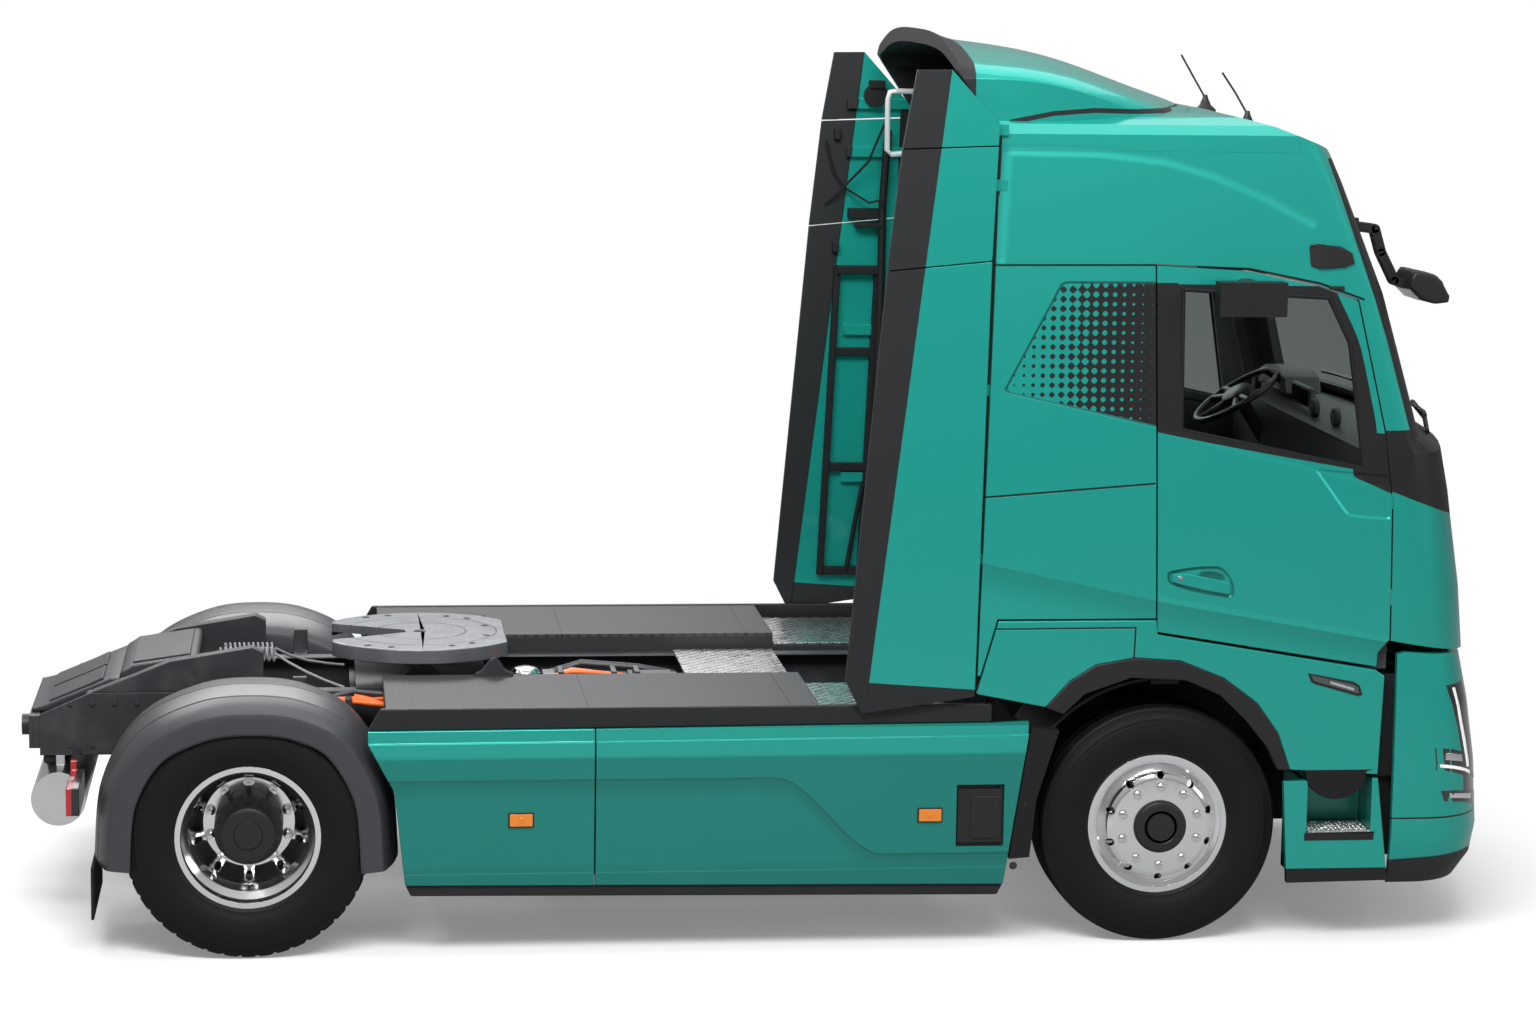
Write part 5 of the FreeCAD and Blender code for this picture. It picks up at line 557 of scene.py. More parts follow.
for side, way in SIDES:
    front = Form()
    tyre(front, FRONT_AXLE, way * 1.034, 0, 0)
    front.done(f"front_tyre_{side}", f"wheel_front_{side}", tyre_black, "tyre_rubber", 0,
               [f"tyre_front_{side}"], 0.45)
    twins = Form()
    for y in (1.079, 0.729):
        tyre(twins, 0, way * y, 44, 0.010)
    twins.done(f"twin_tyres_{side}", f"wheels_rear_{side}", tyre_black, "tyre_rubber", 0,
               [f"tyres_rear_{side}"], 0.45)

# Coupling. A cast steel plate on a pressed base, greased, with rings turned in its face about the throat
# and countersunk bolts, and two pressed brackets for the trailer's lines behind it.
cast = Finish("cast_steel", (0.14, 0.145, 0.16), 0.36, 0.6, specular_ior_level=0.4)
throat_x, plate_top, ring_half, rings = 0.733, 1.1405, 0.004, (0.20, 0.335)
out = ((cast.along("X") - throat_x) ** 2 + cast.along("Y") ** 2) ** 0.5
ring = (abs(out - rings[0]) < ring_half).most(abs(out - rings[1]) < ring_half) * (cast.along("Z") > 1.135)
grease = cast.noise(7, 5).ramp(0.4, 0.7)
cast.paint((0.21, 0.215, 0.235), (grease, (0.14, 0.145, 0.16)), (ring, near_black))
cast.drive("Roughness", grease * 0.14 + 0.30)
cast.bump(1 - ring + cast.noise(60, 4) * 0.02, 0.4, 0.003)
dress("fifth_wheel_plate", cast, 0.008)
slots = Form()
for x, y in ((0.50, -0.34), (0.60, -0.38), (0.86, -0.36), (0.95, -0.30), (1.02, -0.12)):
    slots.turned((x, y, plate_top), "Z", [(0, 0.017), (0.0015, 0.017), (0.0015, 0.010), (0.0005, 0.009),
                                       (0.0005, 0)], 12)
slots.both()
slots.done("plate_bolts", "coupling", hub_cast, "cast_plate", 0, smooth=0.5)
brackets = Form()
brackets.plate([(0.94, 1.0), (1.13, 1.0), (1.115, 1.05), (1.08, 1.065), (1.06, 1.10), (1.035, 1.12),
                (1.01, 1.10), (0.985, 1.065), (0.955, 1.05)], 0.50, 0.515)
brackets.block(0.93, 1.14, 0.45, 0.56, 0.972, 1.0)
brackets.both()
brackets.done("loom_brackets", "chassis", frame_paint, "chassis_paint", 0.006)

# Decks and walkway. Black slotted plastic decks beside the frame, made in panels and bolted down, and bright
# aluminium plates with a raised pattern to walk on.
deck_plastic = Finish("deck_plastic", (0.0085, 0.0085, 0.0095), 0.55, 0, specular_ior_level=0.35)
slot_length = 0.024
rows = deck_plastic.along("Y") / 0.022
row = rows.sum("FLOOR", rows)
odd = row.sum("FLOORED_MODULO", row, 2.0)
stud = ((deck_plastic.along("X") + odd * slot_length).zigzag(slot_length) > 0.009) * (rows.zigzag(0.5) > 0.2)
split = abs(abs(deck_plastic.along("X") - 1.81) - 0.42) < 0.005
top = deck_plastic.along("Z") > 1.02
deck_plastic.paint((0.028, 0.029, 0.031), (stud * top, (0.052, 0.053, 0.057)), (split * top, near_black))
deck_plastic.bump(stud * (1 - split) * top, 0.7, 0.003)
dress("side_decks", deck_plastic, 0.005)
tread_alloy = Finish("tread_alloy", (0.82, 0.82, 0.83), 0.28, 1.0)
bar_pitch = 0.030
u = (tread_alloy.along("X") + tread_alloy.along("Y")) / bar_pitch
v = (tread_alloy.along("X") - tread_alloy.along("Y")) / bar_pitch
bars = [(lengthwise.zigzag(1.0) ** 2 * 1.2 + ((across + shift).zigzag(1.0) * 3.4) ** 2).ramp(1.0, 0.55)
        for lengthwise, across, shift in ((u, v, 0), (v, u, 1.0))]
raised = bars[0].most(bars[1])
tread_alloy.drive("Roughness", raised * -0.12 + tread_alloy.noise(20, 3) * 0.2 + 0.2)
tread_alloy.paint((0.60, 0.61, 0.62), (raised, (0.90, 0.90, 0.91)))
tread_alloy.bump(raised, 1.0, 0.003)
dress("tread_plates", tread_alloy, 0.002)

# Rear mudguards. Blow-moulded grey plastic arches, crowned across their tops with three grooves and turned
# down at the sides, and rubber flaps behind.
guard_plastic = Finish("guard_plastic", (0.040, 0.041, 0.046), 0.38, 0, (300, 2, 0.05),
                       specular_ior_level=0.5)
crown_fall, wall_fall, groove_depth, shell_thick = 0.058, 0.150, 0.007, 0.008
shoulder, roundness, guard_middle, guard_half = 0.95, 2.2, -0.905, 0.345
section = [(-1.0, wall_fall), (-1.0, 0.085), (-0.985, 0.068), (-shoulder, crown_fall)]
for groove in (-0.58, -0.10, 0.38):
    for step, depth in ((-0.16, 0), (-0.022, 0), (-0.012, groove_depth), (0.012, groove_depth), (0.022, 0)):
        section.append((groove + step, crown_fall * (abs(groove + step) / shoulder) ** roundness + depth))
section += [(share, crown_fall * (share / shoulder) ** roundness) for share in (0.62, 0.80, shoulder)]
section += [(0.985, 0.068), (1.0, 0.085), (1.0, wall_fall)]
section += [(share * 0.983, fall + shell_thick) for share, fall in reversed(section)]
arch = [(-0.634, 0.393), (-0.602, 0.700), (-0.455, 0.945), (-0.215, 1.070), (0.020, 1.098), (0.240, 1.068),
        (0.440, 0.955), (0.585, 0.700), (0.618, 0.375)]
guards = Form()
rings = []
for i in range(len(arch) - 1):
    before, here, there, after = [Vector(arch[min(max(j, 0), len(arch) - 1)]) for j in range(i - 1, i + 3)]
    first, second = there - before, 2 * before - 5 * here + 4 * there - after
    third = 3 * here - before - 3 * there + after
    for k in range(8 if i < len(arch) - 2 else 9):
        t = k / 8
        spot = 0.5 * (2 * here + first * t + second * t ** 2 + third * t ** 3)
        way = first + 2 * second * t + 3 * third * t ** 2
        out = Vector((-way.y, way.x)).normalized()
        places = [(spot - out * fall, share) for share, fall in section]
        rings.append([(place.x, guard_middle + guard_half * share, place.y) for place, share in places])
guards.between(*rings)
guards.both()
guards.done("rear_guards", "chassis", guard_plastic, "grey_casing", 0, ["mudguards_rear"], 0.5)
ties = Form()
ties.block(0.18, 0.24, -0.575, -0.42, 0.90, 0.96)
ties.block(0.18, 0.24, -0.575, -0.545, 0.90, 1.05)
ties.both()
ties.done("guard_brackets", "chassis", frame_paint, "chassis_paint", 0.004)
flap_rubber = Finish("flap_rubber", (0.010, 0.010, 0.010), 0.6, 0, specular_ior_level=0.3)
flap_rubber.bump(flap_rubber.noise(50, 3) + flap_rubber.along("Y").zigzag(0.02) * 20, 0.25, 0.002)
dress("mudflaps", flap_rubber, 0.003)

# Tail lamps. Red moulded lenses in dark boxes screwed to the tail, ribbed upright to scatter the light,
# each with a clear band for reversing.
lens_red = Finish("lamp_red", (0.38, 0.006, 0.008), 0.12, 0, coat_weight=1.0)
lens_rib = 0.006
across = lens_red.along("Y").zigzag(lens_rib) / lens_rib
y = abs(lens_red.along("Y"))
clear = abs(y - 0.82) < 0.035
holder = (lens_red.along("X") > -0.722).most(y < 0.645)
lens_red.paint((0.42, 0.006, 0.008), (clear, (0.55, 0.50, 0.48)), (holder, (0.02, 0.02, 0.022)))
lens_red.drive("Coat Weight", 1 - holder)
lens_red.bump(across, 0.4, 0.002)
dress("tail_lamps", lens_red, 0.005)

# Body paint. A teal metallic basecoat with fine flake under clear lacquer, sprayed over steel and moulded
# panels. Where a panel is black or bare moulding, the flake and the lacquer stop.
TEAL = (0.012, 0.360, 0.300)
# The body paint as it looks in shade: a painted shade below the folds of the cab side and doors.
TEAL_IN_PAINTED_SHADE = (0.004, 0.15, 0.125)
GLOSS_BLACK = (0.010, 0.010, 0.011)
CAB_LINING = (0.075, 0.077, 0.08)
FLAKE, LACQUER, GLOSS = 0.45, 0.6, 0.3


def teal(name):
    made = Finish(name, TEAL, GLOSS, FLAKE, coat_weight=LACQUER, coat_roughness=0.06, specular_ior_level=0.3)
    made.flake = made.noise(900, 1) * 0.03
    return made


def unpainted(made, where, dull=0.2, lacquer_left=0.0):
    """Stops the flake and the lacquer where a mask is 1, and dulls the surface there."""
    made.drive("Metallic", FLAKE - where * FLAKE)
    made.drive("Coat Weight", LACQUER - where * (LACQUER - lacquer_left))
    made.drive("Roughness", where * dull + GLOSS)


# Side skirts. Painted aluminium panels with a rolled upper band, a pressed crease and a dark rail along the
# foot.
skirt_paint = teal("skirt_paint")
x = skirt_paint.along("X")
z = skirt_paint.along("Z")
crease_height, foot_height, band_low, band_high = 0.743, 0.352, 0.838, 0.952
above = z - crease_height + x.ramp(2.16, 2.62) * 0.33
crease = above.ramp(-0.006, 0.006)
foot = (z - foot_height).ramp(-0.006, 0.006)
roll = (z - band_low).ramp(-0.01, 0.012)
skirt_paint.bump(crease * 0.6 - foot * 0.5 - roll * 0.8 + skirt_paint.flake, 1.0, 0.006)
# Painted shade: the teal darkens below the crease and towards the foot.
under = (above.ramp(-0.10, 0.0) * (above < 0.0)).most((z - 0.345).ramp(0.06, 0.0) * 0.6)
painted_highlight_band = (z - band_low).ramp(0.0, 0.012) * (z < band_high)
# The skirt's teal is a darker copy of the body paint, a painted shade, and the rolled upper band a lighter
# one, a painted highlight.
skirt_paint.paint((0.004, 0.225, 0.19), (under * 0.45, (0.003, 0.11, 0.095)),
                  (painted_highlight_band * 0.75, (0.016, 0.42, 0.35)))
dress("side_skirts", skirt_paint, 0.004)
moulding = Finish("dark_moulding", (0.0135, 0.0135, 0.0145), 0.46, 0, (260, 2, 0.14), specular_ior_level=0.35)
for name in ("skirt_trims", "arch_trims"):
    dress(name, moulding, 0.006)
liner = Finish("arch_liner", (0.008, 0.008, 0.009), 0.6, 0, (150, 3, 0.25), specular_ior_level=0.25)
dress("wheel_arches", liner, 0.005)

# Side markers and reflectors. Amber prism lenses in black frames clipped into the skirts, and small round
# red reflectors behind the front wheels.
amber = Finish("amber_lens", (0.72, 0.20, 0.004), 0.2, 0, coat_weight=1.0)
cells = amber.node("ShaderNodeTexVoronoi", {}, {"Vector": amber.place(), "Scale": 260.0})
amber.bump(cells, 0.3, 0.001)
marker_low, marker_high, marker_half, rim_width = 0.547, 0.61, 0.053, 0.006
markers = Form()
frames = Form()
for mid in (1.113, 2.813):
    for form, rim, y0, y1 in ((frames, 0, -1.256, -1.249), (markers, rim_width, -1.262, -1.2555)):
        x0, x1 = mid - marker_half + rim, mid + marker_half - rim
        z0, z1 = marker_low + rim, marker_high - rim
        form.plate([(x0, z0), (x1, z0), (x1, z1), (x0, z1)], y0, y1)
    markers.turned((mid, -1.262, (marker_low + marker_high) / 2), "Y",
                   [(0, 0.012), (-0.002, 0.010), (-0.002, 0)], 16)
markers.both()
frames.both()
markers.done("side_markers", "chassis", amber, "lamp_red", 0.004)
frames.done("marker_frames", "chassis", moulding, "dark_trim", 0.003)
spots = Form()
spots.turned((3.17, -1.251, 0.357), "Y", [(0, 0.017), (-0.006, 0.015), (-0.008, 0)], 20)
spots.turned((3.215, -1.251, 0.62), "Y", [(0, 0.007), (-0.003, 0)], 10)
spots.both()
spots.done("red_reflectors", "chassis", lens_red, "lamp_red", 0.001)

# Charge hatch. A black moulded flap, hinged at its front edge over the inlet in the right skirt, with a
# raised field on its face.
dress("charge_inlet", moulding, 0.004)
dress("charge_flap", moulding, 0.006)
pad = Form()
pad.plate([(2.985, 0.475), (3.11, 0.475), (3.115, 0.50), (3.105, 0.655), (2.985, 0.655)], -1.255, -1.2485)
pad.done("flap_field", "flap", moulding, "dark_trim", 0.006)

# Front fenders and steps. Painted moulded panels under the door, a recessed step with an aluminium tread in
# the corner ahead of the wheel, and a black gap strip where they meet the bumper.
fender_paint = teal("fender_paint")


def line(made, *spots):
    """How far each place lies from a line drawn on the side through spots of (x, z), in metres."""
    x = made.along("X")
    z = made.along("Z")
    nearest = None
    for (x0, z0), (x1, z1) in zip(spots, spots[1:]):
        dx, dz = x1 - x0, z1 - z0
        size = dx * dx + dz * dz
        share = ((x - x0) * (dx / size) + (z - z0) * (dz / size)).least(1.0).most(0.0)
        gap = (x - x0 - share * dx) ** 2 + (z - z0 - share * dz) ** 2
        nearest = gap if nearest is None else nearest.least(gap)
    return nearest ** 0.5


def beyond(made, x0, z0, x1, z1):
    """How far each place lies to the left of a line from one spot to another, in metres."""
    size = math.hypot(x1 - x0, z1 - z0)
    return (made.along("Z") - z0) * ((x1 - x0) / size) - (made.along("X") - x0) * ((z1 - z0) / size)


def within(made, *corners):
    """How far each place lies inside an outline given anticlockwise, in metres."""
    inside = None
    for (x0, z0), (x1, z1) in zip(corners, corners[1:] + corners[:1]):
        edge = beyond(made, x0, z0, x1, z1)
        inside = edge if inside is None else inside.sum("SMOOTH_MIN", inside, edge, 0.03)
    return inside


seam = line(fender_paint, (2.99, 1.36), (3.663, 1.363), (3.66, 1.236))
fender_paint.paint(TEAL, (seam < 0.003, near_black))
fender_paint.bump(seam.ramp(0.0, 0.006) + fender_paint.flake, 1.0, 0.004)
dress("fenders", fender_paint, 0.005)
step_paint = teal("step_paint")
x, y, z = step_paint.places()
inner = (y < 1.243) * (x > 4.412) * (z > 0.478)
lip = z < 0.325
# The recess's inner walls are a darker teal: painted shade in the recess.
step_paint.paint(TEAL, (inner, (0.008, 0.19, 0.15)), (lip, near_black))
step_paint.drive("Coat Weight", LACQUER - lip * LACQUER)
step_paint.drive("Metallic", FLAKE - lip * FLAKE)
step_paint.bump(step_paint.flake, 0.3, 0.001)
dress("step_boxes", step_paint, 0.005)

tread = Form()
tread.slab([(4.430, -1.245), (4.70, -1.245), (4.70, -1.07), (4.430, -1.07)], 0.4785, 0.488)
lug, lug_pitch, row_pitch = 0.0078, 0.0202, 0.028
for i in range(13):
    for j in range(6):
        x = 4.444 + i * lug_pitch
        y = -1.228 + j * row_pitch
        tread.slab([(x - lug, y), (x, y - lug * 0.6), (x + lug, y), (x, y + lug * 0.6)], 0.488, 0.492)
tread.both()
tread.done("step_treads", "chassis", tread_alloy, "tread_alloy", 0.0015)
edge = Form()
for x, y1, z0 in ((4.415, -1.235, 0.445), (4.425, -1.07, 0.474)):
    edge.slab([(x, -1.2475), (4.715, -1.2475), (4.715, y1), (x, y1)], z0, 0.4785)
edge.both()
edge.done("step_edges", "chassis", moulding, "dark_trim", 0.003)
dish = Form()
dip = [math.radians(a) for a in range(200, 341, 10)]
bowl = [(4.543 + 0.132 * math.cos(a), 0.742 + 0.118 * math.sin(a)) for a in dip]
dish.plate([(4.405, 0.752), (4.408, 0.742)] + bowl + [(4.675, 0.742), (4.72, 0.752)], -1.2515, -1.20)
dish.plate([(4.700, 0.36), (4.86, 0.36), (4.86, 0.98), (4.745, 0.98), (4.745, 0.76), (4.700, 0.76)],
           -1.165, -1.150)
dish.plate([(4.40, 0.36), (5.02, 0.36), (5.02, 0.90), (4.40, 0.90)], -0.49, -0.475)
dish.both()
dish.done("step_dishes", "chassis", liner, "dark_trim", 0.008)

# Turn indicators. Slender smoked lenses in black frames, let into the fenders, with a bright silvered bar
# inside each lens.
smoked = Finish("smoked_lens", (0.05, 0.055, 0.058), 0.06, 0, coat_weight=1.0)
smoked.bump(smoked.along("X").zigzag(0.005) * 100, 0.15, 0.001)
bright = Finish("lamp_reflector", (0.88, 0.88, 0.90), 0.1, 1.0)
bright.bump(bright.along("Z").zigzag(0.004) * 120, 0.25, 0.001)
for name, finish, slot, edge, y0, y1, outline in (
        ("indicator_frames", moulding, "dark_trim", 0.004, -1.2535, -1.249,
         [(4.404, 1.166), (4.418, 1.128), (4.44, 1.118), (4.625, 1.066), (4.642, 1.072), (4.628, 1.112),
          (4.60, 1.128)]),
        ("indicator_lenses", smoked, "lamp_clear", 0.003, -1.2565, -1.2525,
         [(4.418, 1.157), (4.428, 1.134), (4.445, 1.127), (4.618, 1.078), (4.628, 1.081), (4.618, 1.105),
          (4.597, 1.118)]),
        ("indicator_bars", bright, "lamp_clear", 0.001, -1.2578, -1.256,
         [(4.50, 1.121), (4.605, 1.090), (4.602, 1.103), (4.50, 1.133)])):
    slim = Form()
    slim.plate(outline, y0, y1)
    slim.both()
    slim.done(name, "chassis", finish, slot, edge)

# Cab shell. Steel and moulded panels in body paint, black about the windows, under the windscreen and on
# the header over it, with a field of fading dots behind each door and lining inside.
cab_paint = teal("cab_paint")
x, y, z = cab_paint.places()
field = within(cab_paint, (3.085, 2.352), (3.78, 2.195), (3.78, 2.80), (3.318, 2.80))
dot_pitch = 0.0393
turns = 2 * math.pi / dot_pitch
dots = x.sum("COSINE", x * turns) + z.sum("COSINE", z * turns)
level = cab_paint.node("ShaderNodeMapRange", {}, {"Value": x, "From Min": 3.10, "From Max": 3.67,
                                                  "To Min": -1.95, "To Max": 1.97})
dark = (dots < level) * (field > 0.004)
side = y > 1.20
inside = cab_paint.lining(3.9, 2.3)
wrap = within(cab_paint, (4.66, 1.955), (4.735, 1.925), (5.07, 1.797), (5.40, 1.67), (5.40, 2.19),
              (4.66, 2.19))
strip = beyond(cab_paint, 4.795, 2.228, 4.695, 2.562).least(beyond(cab_paint, 4.695, 2.562, 4.445, 3.268))
black = (dark * side).most((wrap > 0) * (x > 4.68))
black = black.most((strip < 0) * (x > 4.30) * (z > 2.08) * (z < 3.31))
low_seam = line(cab_paint, (3.0, 1.911), (3.725, 1.968))
top_seam = line(cab_paint, (3.0, 2.868), (3.705, 2.872), (4.10, 2.858), (4.40, 2.800), (4.585, 2.735))
fold = beyond(cab_paint, 2.664, 1.716, 3.762, 1.472)
# A lighter teal within a few centimetres of the roof side's crease and its rear edge is a painted highlight.
dome = line(cab_paint, (3.06, 2.90), (3.079, 3.325), (3.10, 3.338), (3.465, 3.332), (3.737, 3.302),
            (3.948, 3.242), (4.161, 3.154), (4.355, 3.052))
seams = ((low_seam < 0.004) * side).most((top_seam < 0.0045) * side)
# Painted shade: the cab side is a darker teal below its fold line.
painted_shade = fold.ramp(-0.16, 0.0) * (fold < 0) * (x < 3.76) * side
cab_paint.paint(TEAL, ((1 - dome.ramp(0.0, 0.035)) * side * 0.8, (0.025, 0.46, 0.39)),
                (painted_shade * 0.4, TEAL_IN_PAINTED_SHADE), (seams.most((abs(field) < 0.004) * side * 0.6), near_black),
                (black, GLOSS_BLACK), (inside, CAB_LINING))
unpainted(cab_paint, black.most(inside))
height = low_seam.ramp(0.0, 0.006) + top_seam.ramp(0.0, 0.006) + fold.ramp(-0.03, 0.03) * 0.9
height = height - (field.ramp(-0.008, 0.004) * side) * 1.2 + dome.ramp(0.0, 0.03) * 0.5
cab_paint.bump(height + cab_paint.flake, 1.0, 0.005)
for name in ("cab_front", "cab_roof", "cab_sides"):
    dress(name, cab_paint, 0.004, 0.35)
back_paint = teal("cab_back_paint")
inside = back_paint.along("X") > (back_paint.along("Z") - 1.402) * 0.0223 + 3.03
back_paint.paint(TEAL, (inside, CAB_LINING))
back_paint.drive("Metallic", FLAKE - inside * FLAKE)
rib_pitch = 0.21
rib = back_paint.along("Y").zigzag(rib_pitch) / rib_pitch
back_paint.bump(rib.ramp(0.30, 0.42) * (back_paint.along("Z") < 3.1) + back_paint.flake, 0.8, 0.01)
dress("cab_rear_wall", back_paint, 0.004)

# Doors. Pressed skins in body paint with a black window surround, a pull handle in a dished recess and a
# pocket of sculpted sheet under the mirror corner.
door_paint = teal("door_paint")
x, y, z = door_paint.places()
surround = within(door_paint, (3.70, 2.18), (3.825, 2.158), (4.595, 1.982), (4.66, 1.975), (4.665, 2.18),
                  (4.575, 2.56), (4.455, 2.79), (3.79, 2.80), (3.70, 2.80))
corner = within(door_paint, (4.56, 1.995), (4.745, 1.915), (4.745, 2.178), (4.56, 2.19))
pillar = (x < 3.80) * (z < 2.80) * (beyond(door_paint, 3.70, 2.222, 3.835, 2.187) > 0)
frame_line = (surround > 0).most(pillar).most(corner > 0.004)
belt = beyond(door_paint, 3.11, 2.338, 4.734, 1.941)
fold = beyond(door_paint, 3.762, 1.472, 4.70, 1.301)
lining = door_paint.lining(4.2, 2.1)
arm = y > 1.256
wing = within(door_paint, (4.55, 1.83), (4.735, 1.815), (4.735, 2.0), (4.40, 2.03))
# The handle recess's rim and its hollow are painted darker teals: painted shade in the recess.
recess = within(door_paint, (3.796, 1.552), (3.888, 1.516), (4.066, 1.487), (4.078, 1.505), (4.066, 1.566),
                (4.020, 1.617), (3.925, 1.622), (3.790, 1.597))
hollow = within(door_paint, (3.905, 1.570), (4.045, 1.545), (4.045, 1.585), (4.005, 1.606), (3.925, 1.606))
# Painted shade in a darker teal below the fold, and a painted highlight in a lighter teal in a strip just
# above it.
door_paint.paint(TEAL, (fold.ramp(-0.16, 0.0) * (fold < 0) * 0.4, TEAL_IN_PAINTED_SHADE),
                 ((abs(fold - 0.012) < 0.012) * 0.5, (0.020, 0.44, 0.37)),
                 ((abs(recess) < 0.0035) * 0.7, (0.004, 0.10, 0.085)),
                 (hollow.ramp(0.0, 0.014) * 0.75, (0.003, 0.075, 0.065)),
                 (frame_line.most(arm), GLOSS_BLACK), (lining, CAB_LINING))
unpainted(door_paint, frame_line.most(lining).most(arm))
height = fold.ramp(-0.03, 0.03) * 0.9 - belt.ramp(-0.012, 0.012) * 0.35 - wing.ramp(-0.004, 0.01) * 1.1
height = height - recess.ramp(-0.004, 0.012) * 1.6 - hollow.ramp(0.0, 0.02) * 1.2
door_paint.bump(height + door_paint.flake, 1.0, 0.006)
pull_paint = teal("pull_paint")
for side, way in SIDES:
    dress(f"door_{side}", door_paint, 0.004, 0.35)
    body = f"door_{side[0]}"
    pull = Form(way)
    pull.plate([(3.808, 1.560), (3.815, 1.590), (3.872, 1.592), (3.96, 1.574), (4.052, 1.552), (4.060, 1.512),
                (4.05, 1.503), (3.95, 1.522), (3.878, 1.538), (3.825, 1.552)], 1.249, 1.2615)
    pull.done(f"door_pull_{side}", body, pull_paint, "body_paint", 0.005)
    lock = Form(way)
    lock.turned((3.842, 1.2612, 1.574), "Y", [(0, 0.011), (0.003, 0.010), (0.003, 0.004), (0.002, 0)], 16)
    lock.done(f"door_lock_{side}", body, nut_chrome, "polished_alloy", 0, smooth=0.5)
    seal = Form()
    edge = [(3.822, 2.772), (4.437, 2.740), (4.535, 2.547), (4.612, 2.030), (3.832, 2.193)]
    face = way * 1.243
    for (x0, z0), (x1, z1) in zip(edge, edge[1:] + edge[:1]):
        seal.tube([(x0, face, z0), ((x0 + x1) / 2, face, (z0 + z1) / 2), (x1, face, z1)], 0.008, 6)
    seal.done(f"window_seal_{side}", body, liner, "dark_trim", 0, smooth=1.0)
    # The camera pod that stands in for a side mirror: a stalk, and a head swept through five sections.
    eye = Form(way)
    eye.slab([(4.005, 1.36), (4.05, 1.345), (4.05, 1.255), (4.10, 1.255), (4.10, 1.35), (4.06, 1.40)],
             2.785, 2.822)
    eye.between(*[[(x, inner, top), (x, outer, outer_top), (x + lean, outer, foot), (x + lean, inner, foot)]
                  for x, lean, inner, outer, top, outer_top, foot in (
                      (3.935, 0.015, 1.350, 1.436, 2.765, 2.765, 2.70),
                      (3.97, 0.005, 1.346, 1.438, 2.815, 2.81, 2.685),
                      (4.08, 0.01, 1.346, 1.438, 2.818, 2.815, 2.683),
                      (4.19, 0.01, 1.350, 1.432, 2.80, 2.795, 2.695),
                      (4.208, 0.0, 1.360, 1.42, 2.78, 2.78, 2.71))])
    eye.done(f"camera_pod_{side}", body, moulding, "dark_trim", 0.008)
    view = Form()
    view.turned((3.9365, way * 1.393, 2.735), "X",
                [(0, 0.016), (-0.004, 0.015), (-0.004, 0.009), (-0.001, 0.008), (-0.001, 0)], 20)
    view.done(f"camera_lens_{side}", body, smoked, "lamp_clear", 0, smooth=0.5)

# Glazing. A laminated windscreen and toughened door panes with a light green-grey tint. They are bonded in
# behind black borders.
glass = Finish("tinted_glass", (0.80, 0.86, 0.85), 0.0, 0, (1.2, 1, 0.01), transmission_weight=1.0, ior=1.06)
for name in ("windscreen", "door_glass_right", "door_glass_left"):
    dress(name, glass, 0)

# Roof pods. Small black moulded housings, one screwed over each front pillar, with a small block of the same
# moulding below.
pods = Form()
pods.between([(4.347, -1.226, 2.90), (4.347, -1.232, 2.955), (4.36, -1.238, 2.965), (4.36, -1.240, 2.875)],
             [(4.36, -1.225, 2.865), (4.37, -1.245, 2.962), (4.40, -1.2495, 2.965), (4.40, -1.2495, 2.862)],
             [(4.50, -1.215, 2.862), (4.48, -1.235, 2.955), (4.49, -1.2495, 2.945), (4.50, -1.2495, 2.872)],
             [(4.545, -1.205, 2.876), (4.53, -1.22, 2.93), (4.53, -1.240, 2.925), (4.54, -1.243, 2.885)])
pods.block(4.438, 4.50, -1.2475, -1.225, 2.775, 2.79)
pods.both()
pods.done("roof_pods", "cab", moulding, "dark_trim", 0.006)

# Aerials. Two black whips, bent back over the roof, on turned rubber cones. The cones are screwed down to
# the roof.
whips = Form()
for x, y, z, h in ((4.226, -0.6, 3.405, 0.235), (4.208, 0.1, 3.445, 0.25)):
    whips.turned((x, y, z), "Z",
                 [(0, 0.050), (0.012, 0.047), (0.03, 0.026), (0.06, 0.013), (0.075, 0.009)], 20)
    whips.tube([(x, y, z + 0.06), (x - 0.055, y, z + 0.15), (x - 0.115, y, z + h)], 0.0045, 6)
whips.done("aerials", "cab", moulding, "dark_trim", 0, smooth=0.7)

# Air deflectors. Painted moulded panels beside and over the gap behind the cab, with dark flexible rear
# edges, held off the cab by black tube frames.
wing_paint = teal("deflector_paint")
edge = beyond(wing_paint, 2.546, 1.139, 2.838, 3.659)
x = wing_paint.along("X")
y = abs(wing_paint.along("Y"))
sill = beyond(wing_paint, 2.991, 1.107, 2.545, 1.14)
hood = y < 1.165
lip = hood * (x < 2.955)
under = hood * wing_paint.lining(3.3, 3.25)
# The hood's foot along its seat on the roof is darkened: a painted shadow in the gap between hood and roof.
seat = line(wing_paint, (3.058, 3.345), (3.080, 3.432), (3.106, 3.449), (3.28, 3.484), (3.454, 3.497),
            (3.638, 3.492), (3.80, 3.494), (4.0, 3.497))
dark_edges_and_gap_shadow = ((edge > 0) * (1 - hood)).most(sill > 0).most(lip).most(under).most(hood * (seat < 0.010))
wing_paint.paint(TEAL, (dark_edges_and_gap_shadow, (0.014, 0.0145, 0.016)))
unpainted(wing_paint, dark_edges_and_gap_shadow, 0.22)
wing_paint.bump(edge.ramp(-0.004, 0.004) + wing_paint.flake, 0.8, 0.004)
dress("side_deflectors", wing_paint, 0.006, 0.35)
dress("roof_deflector", wing_paint, 0.006, 0.35)

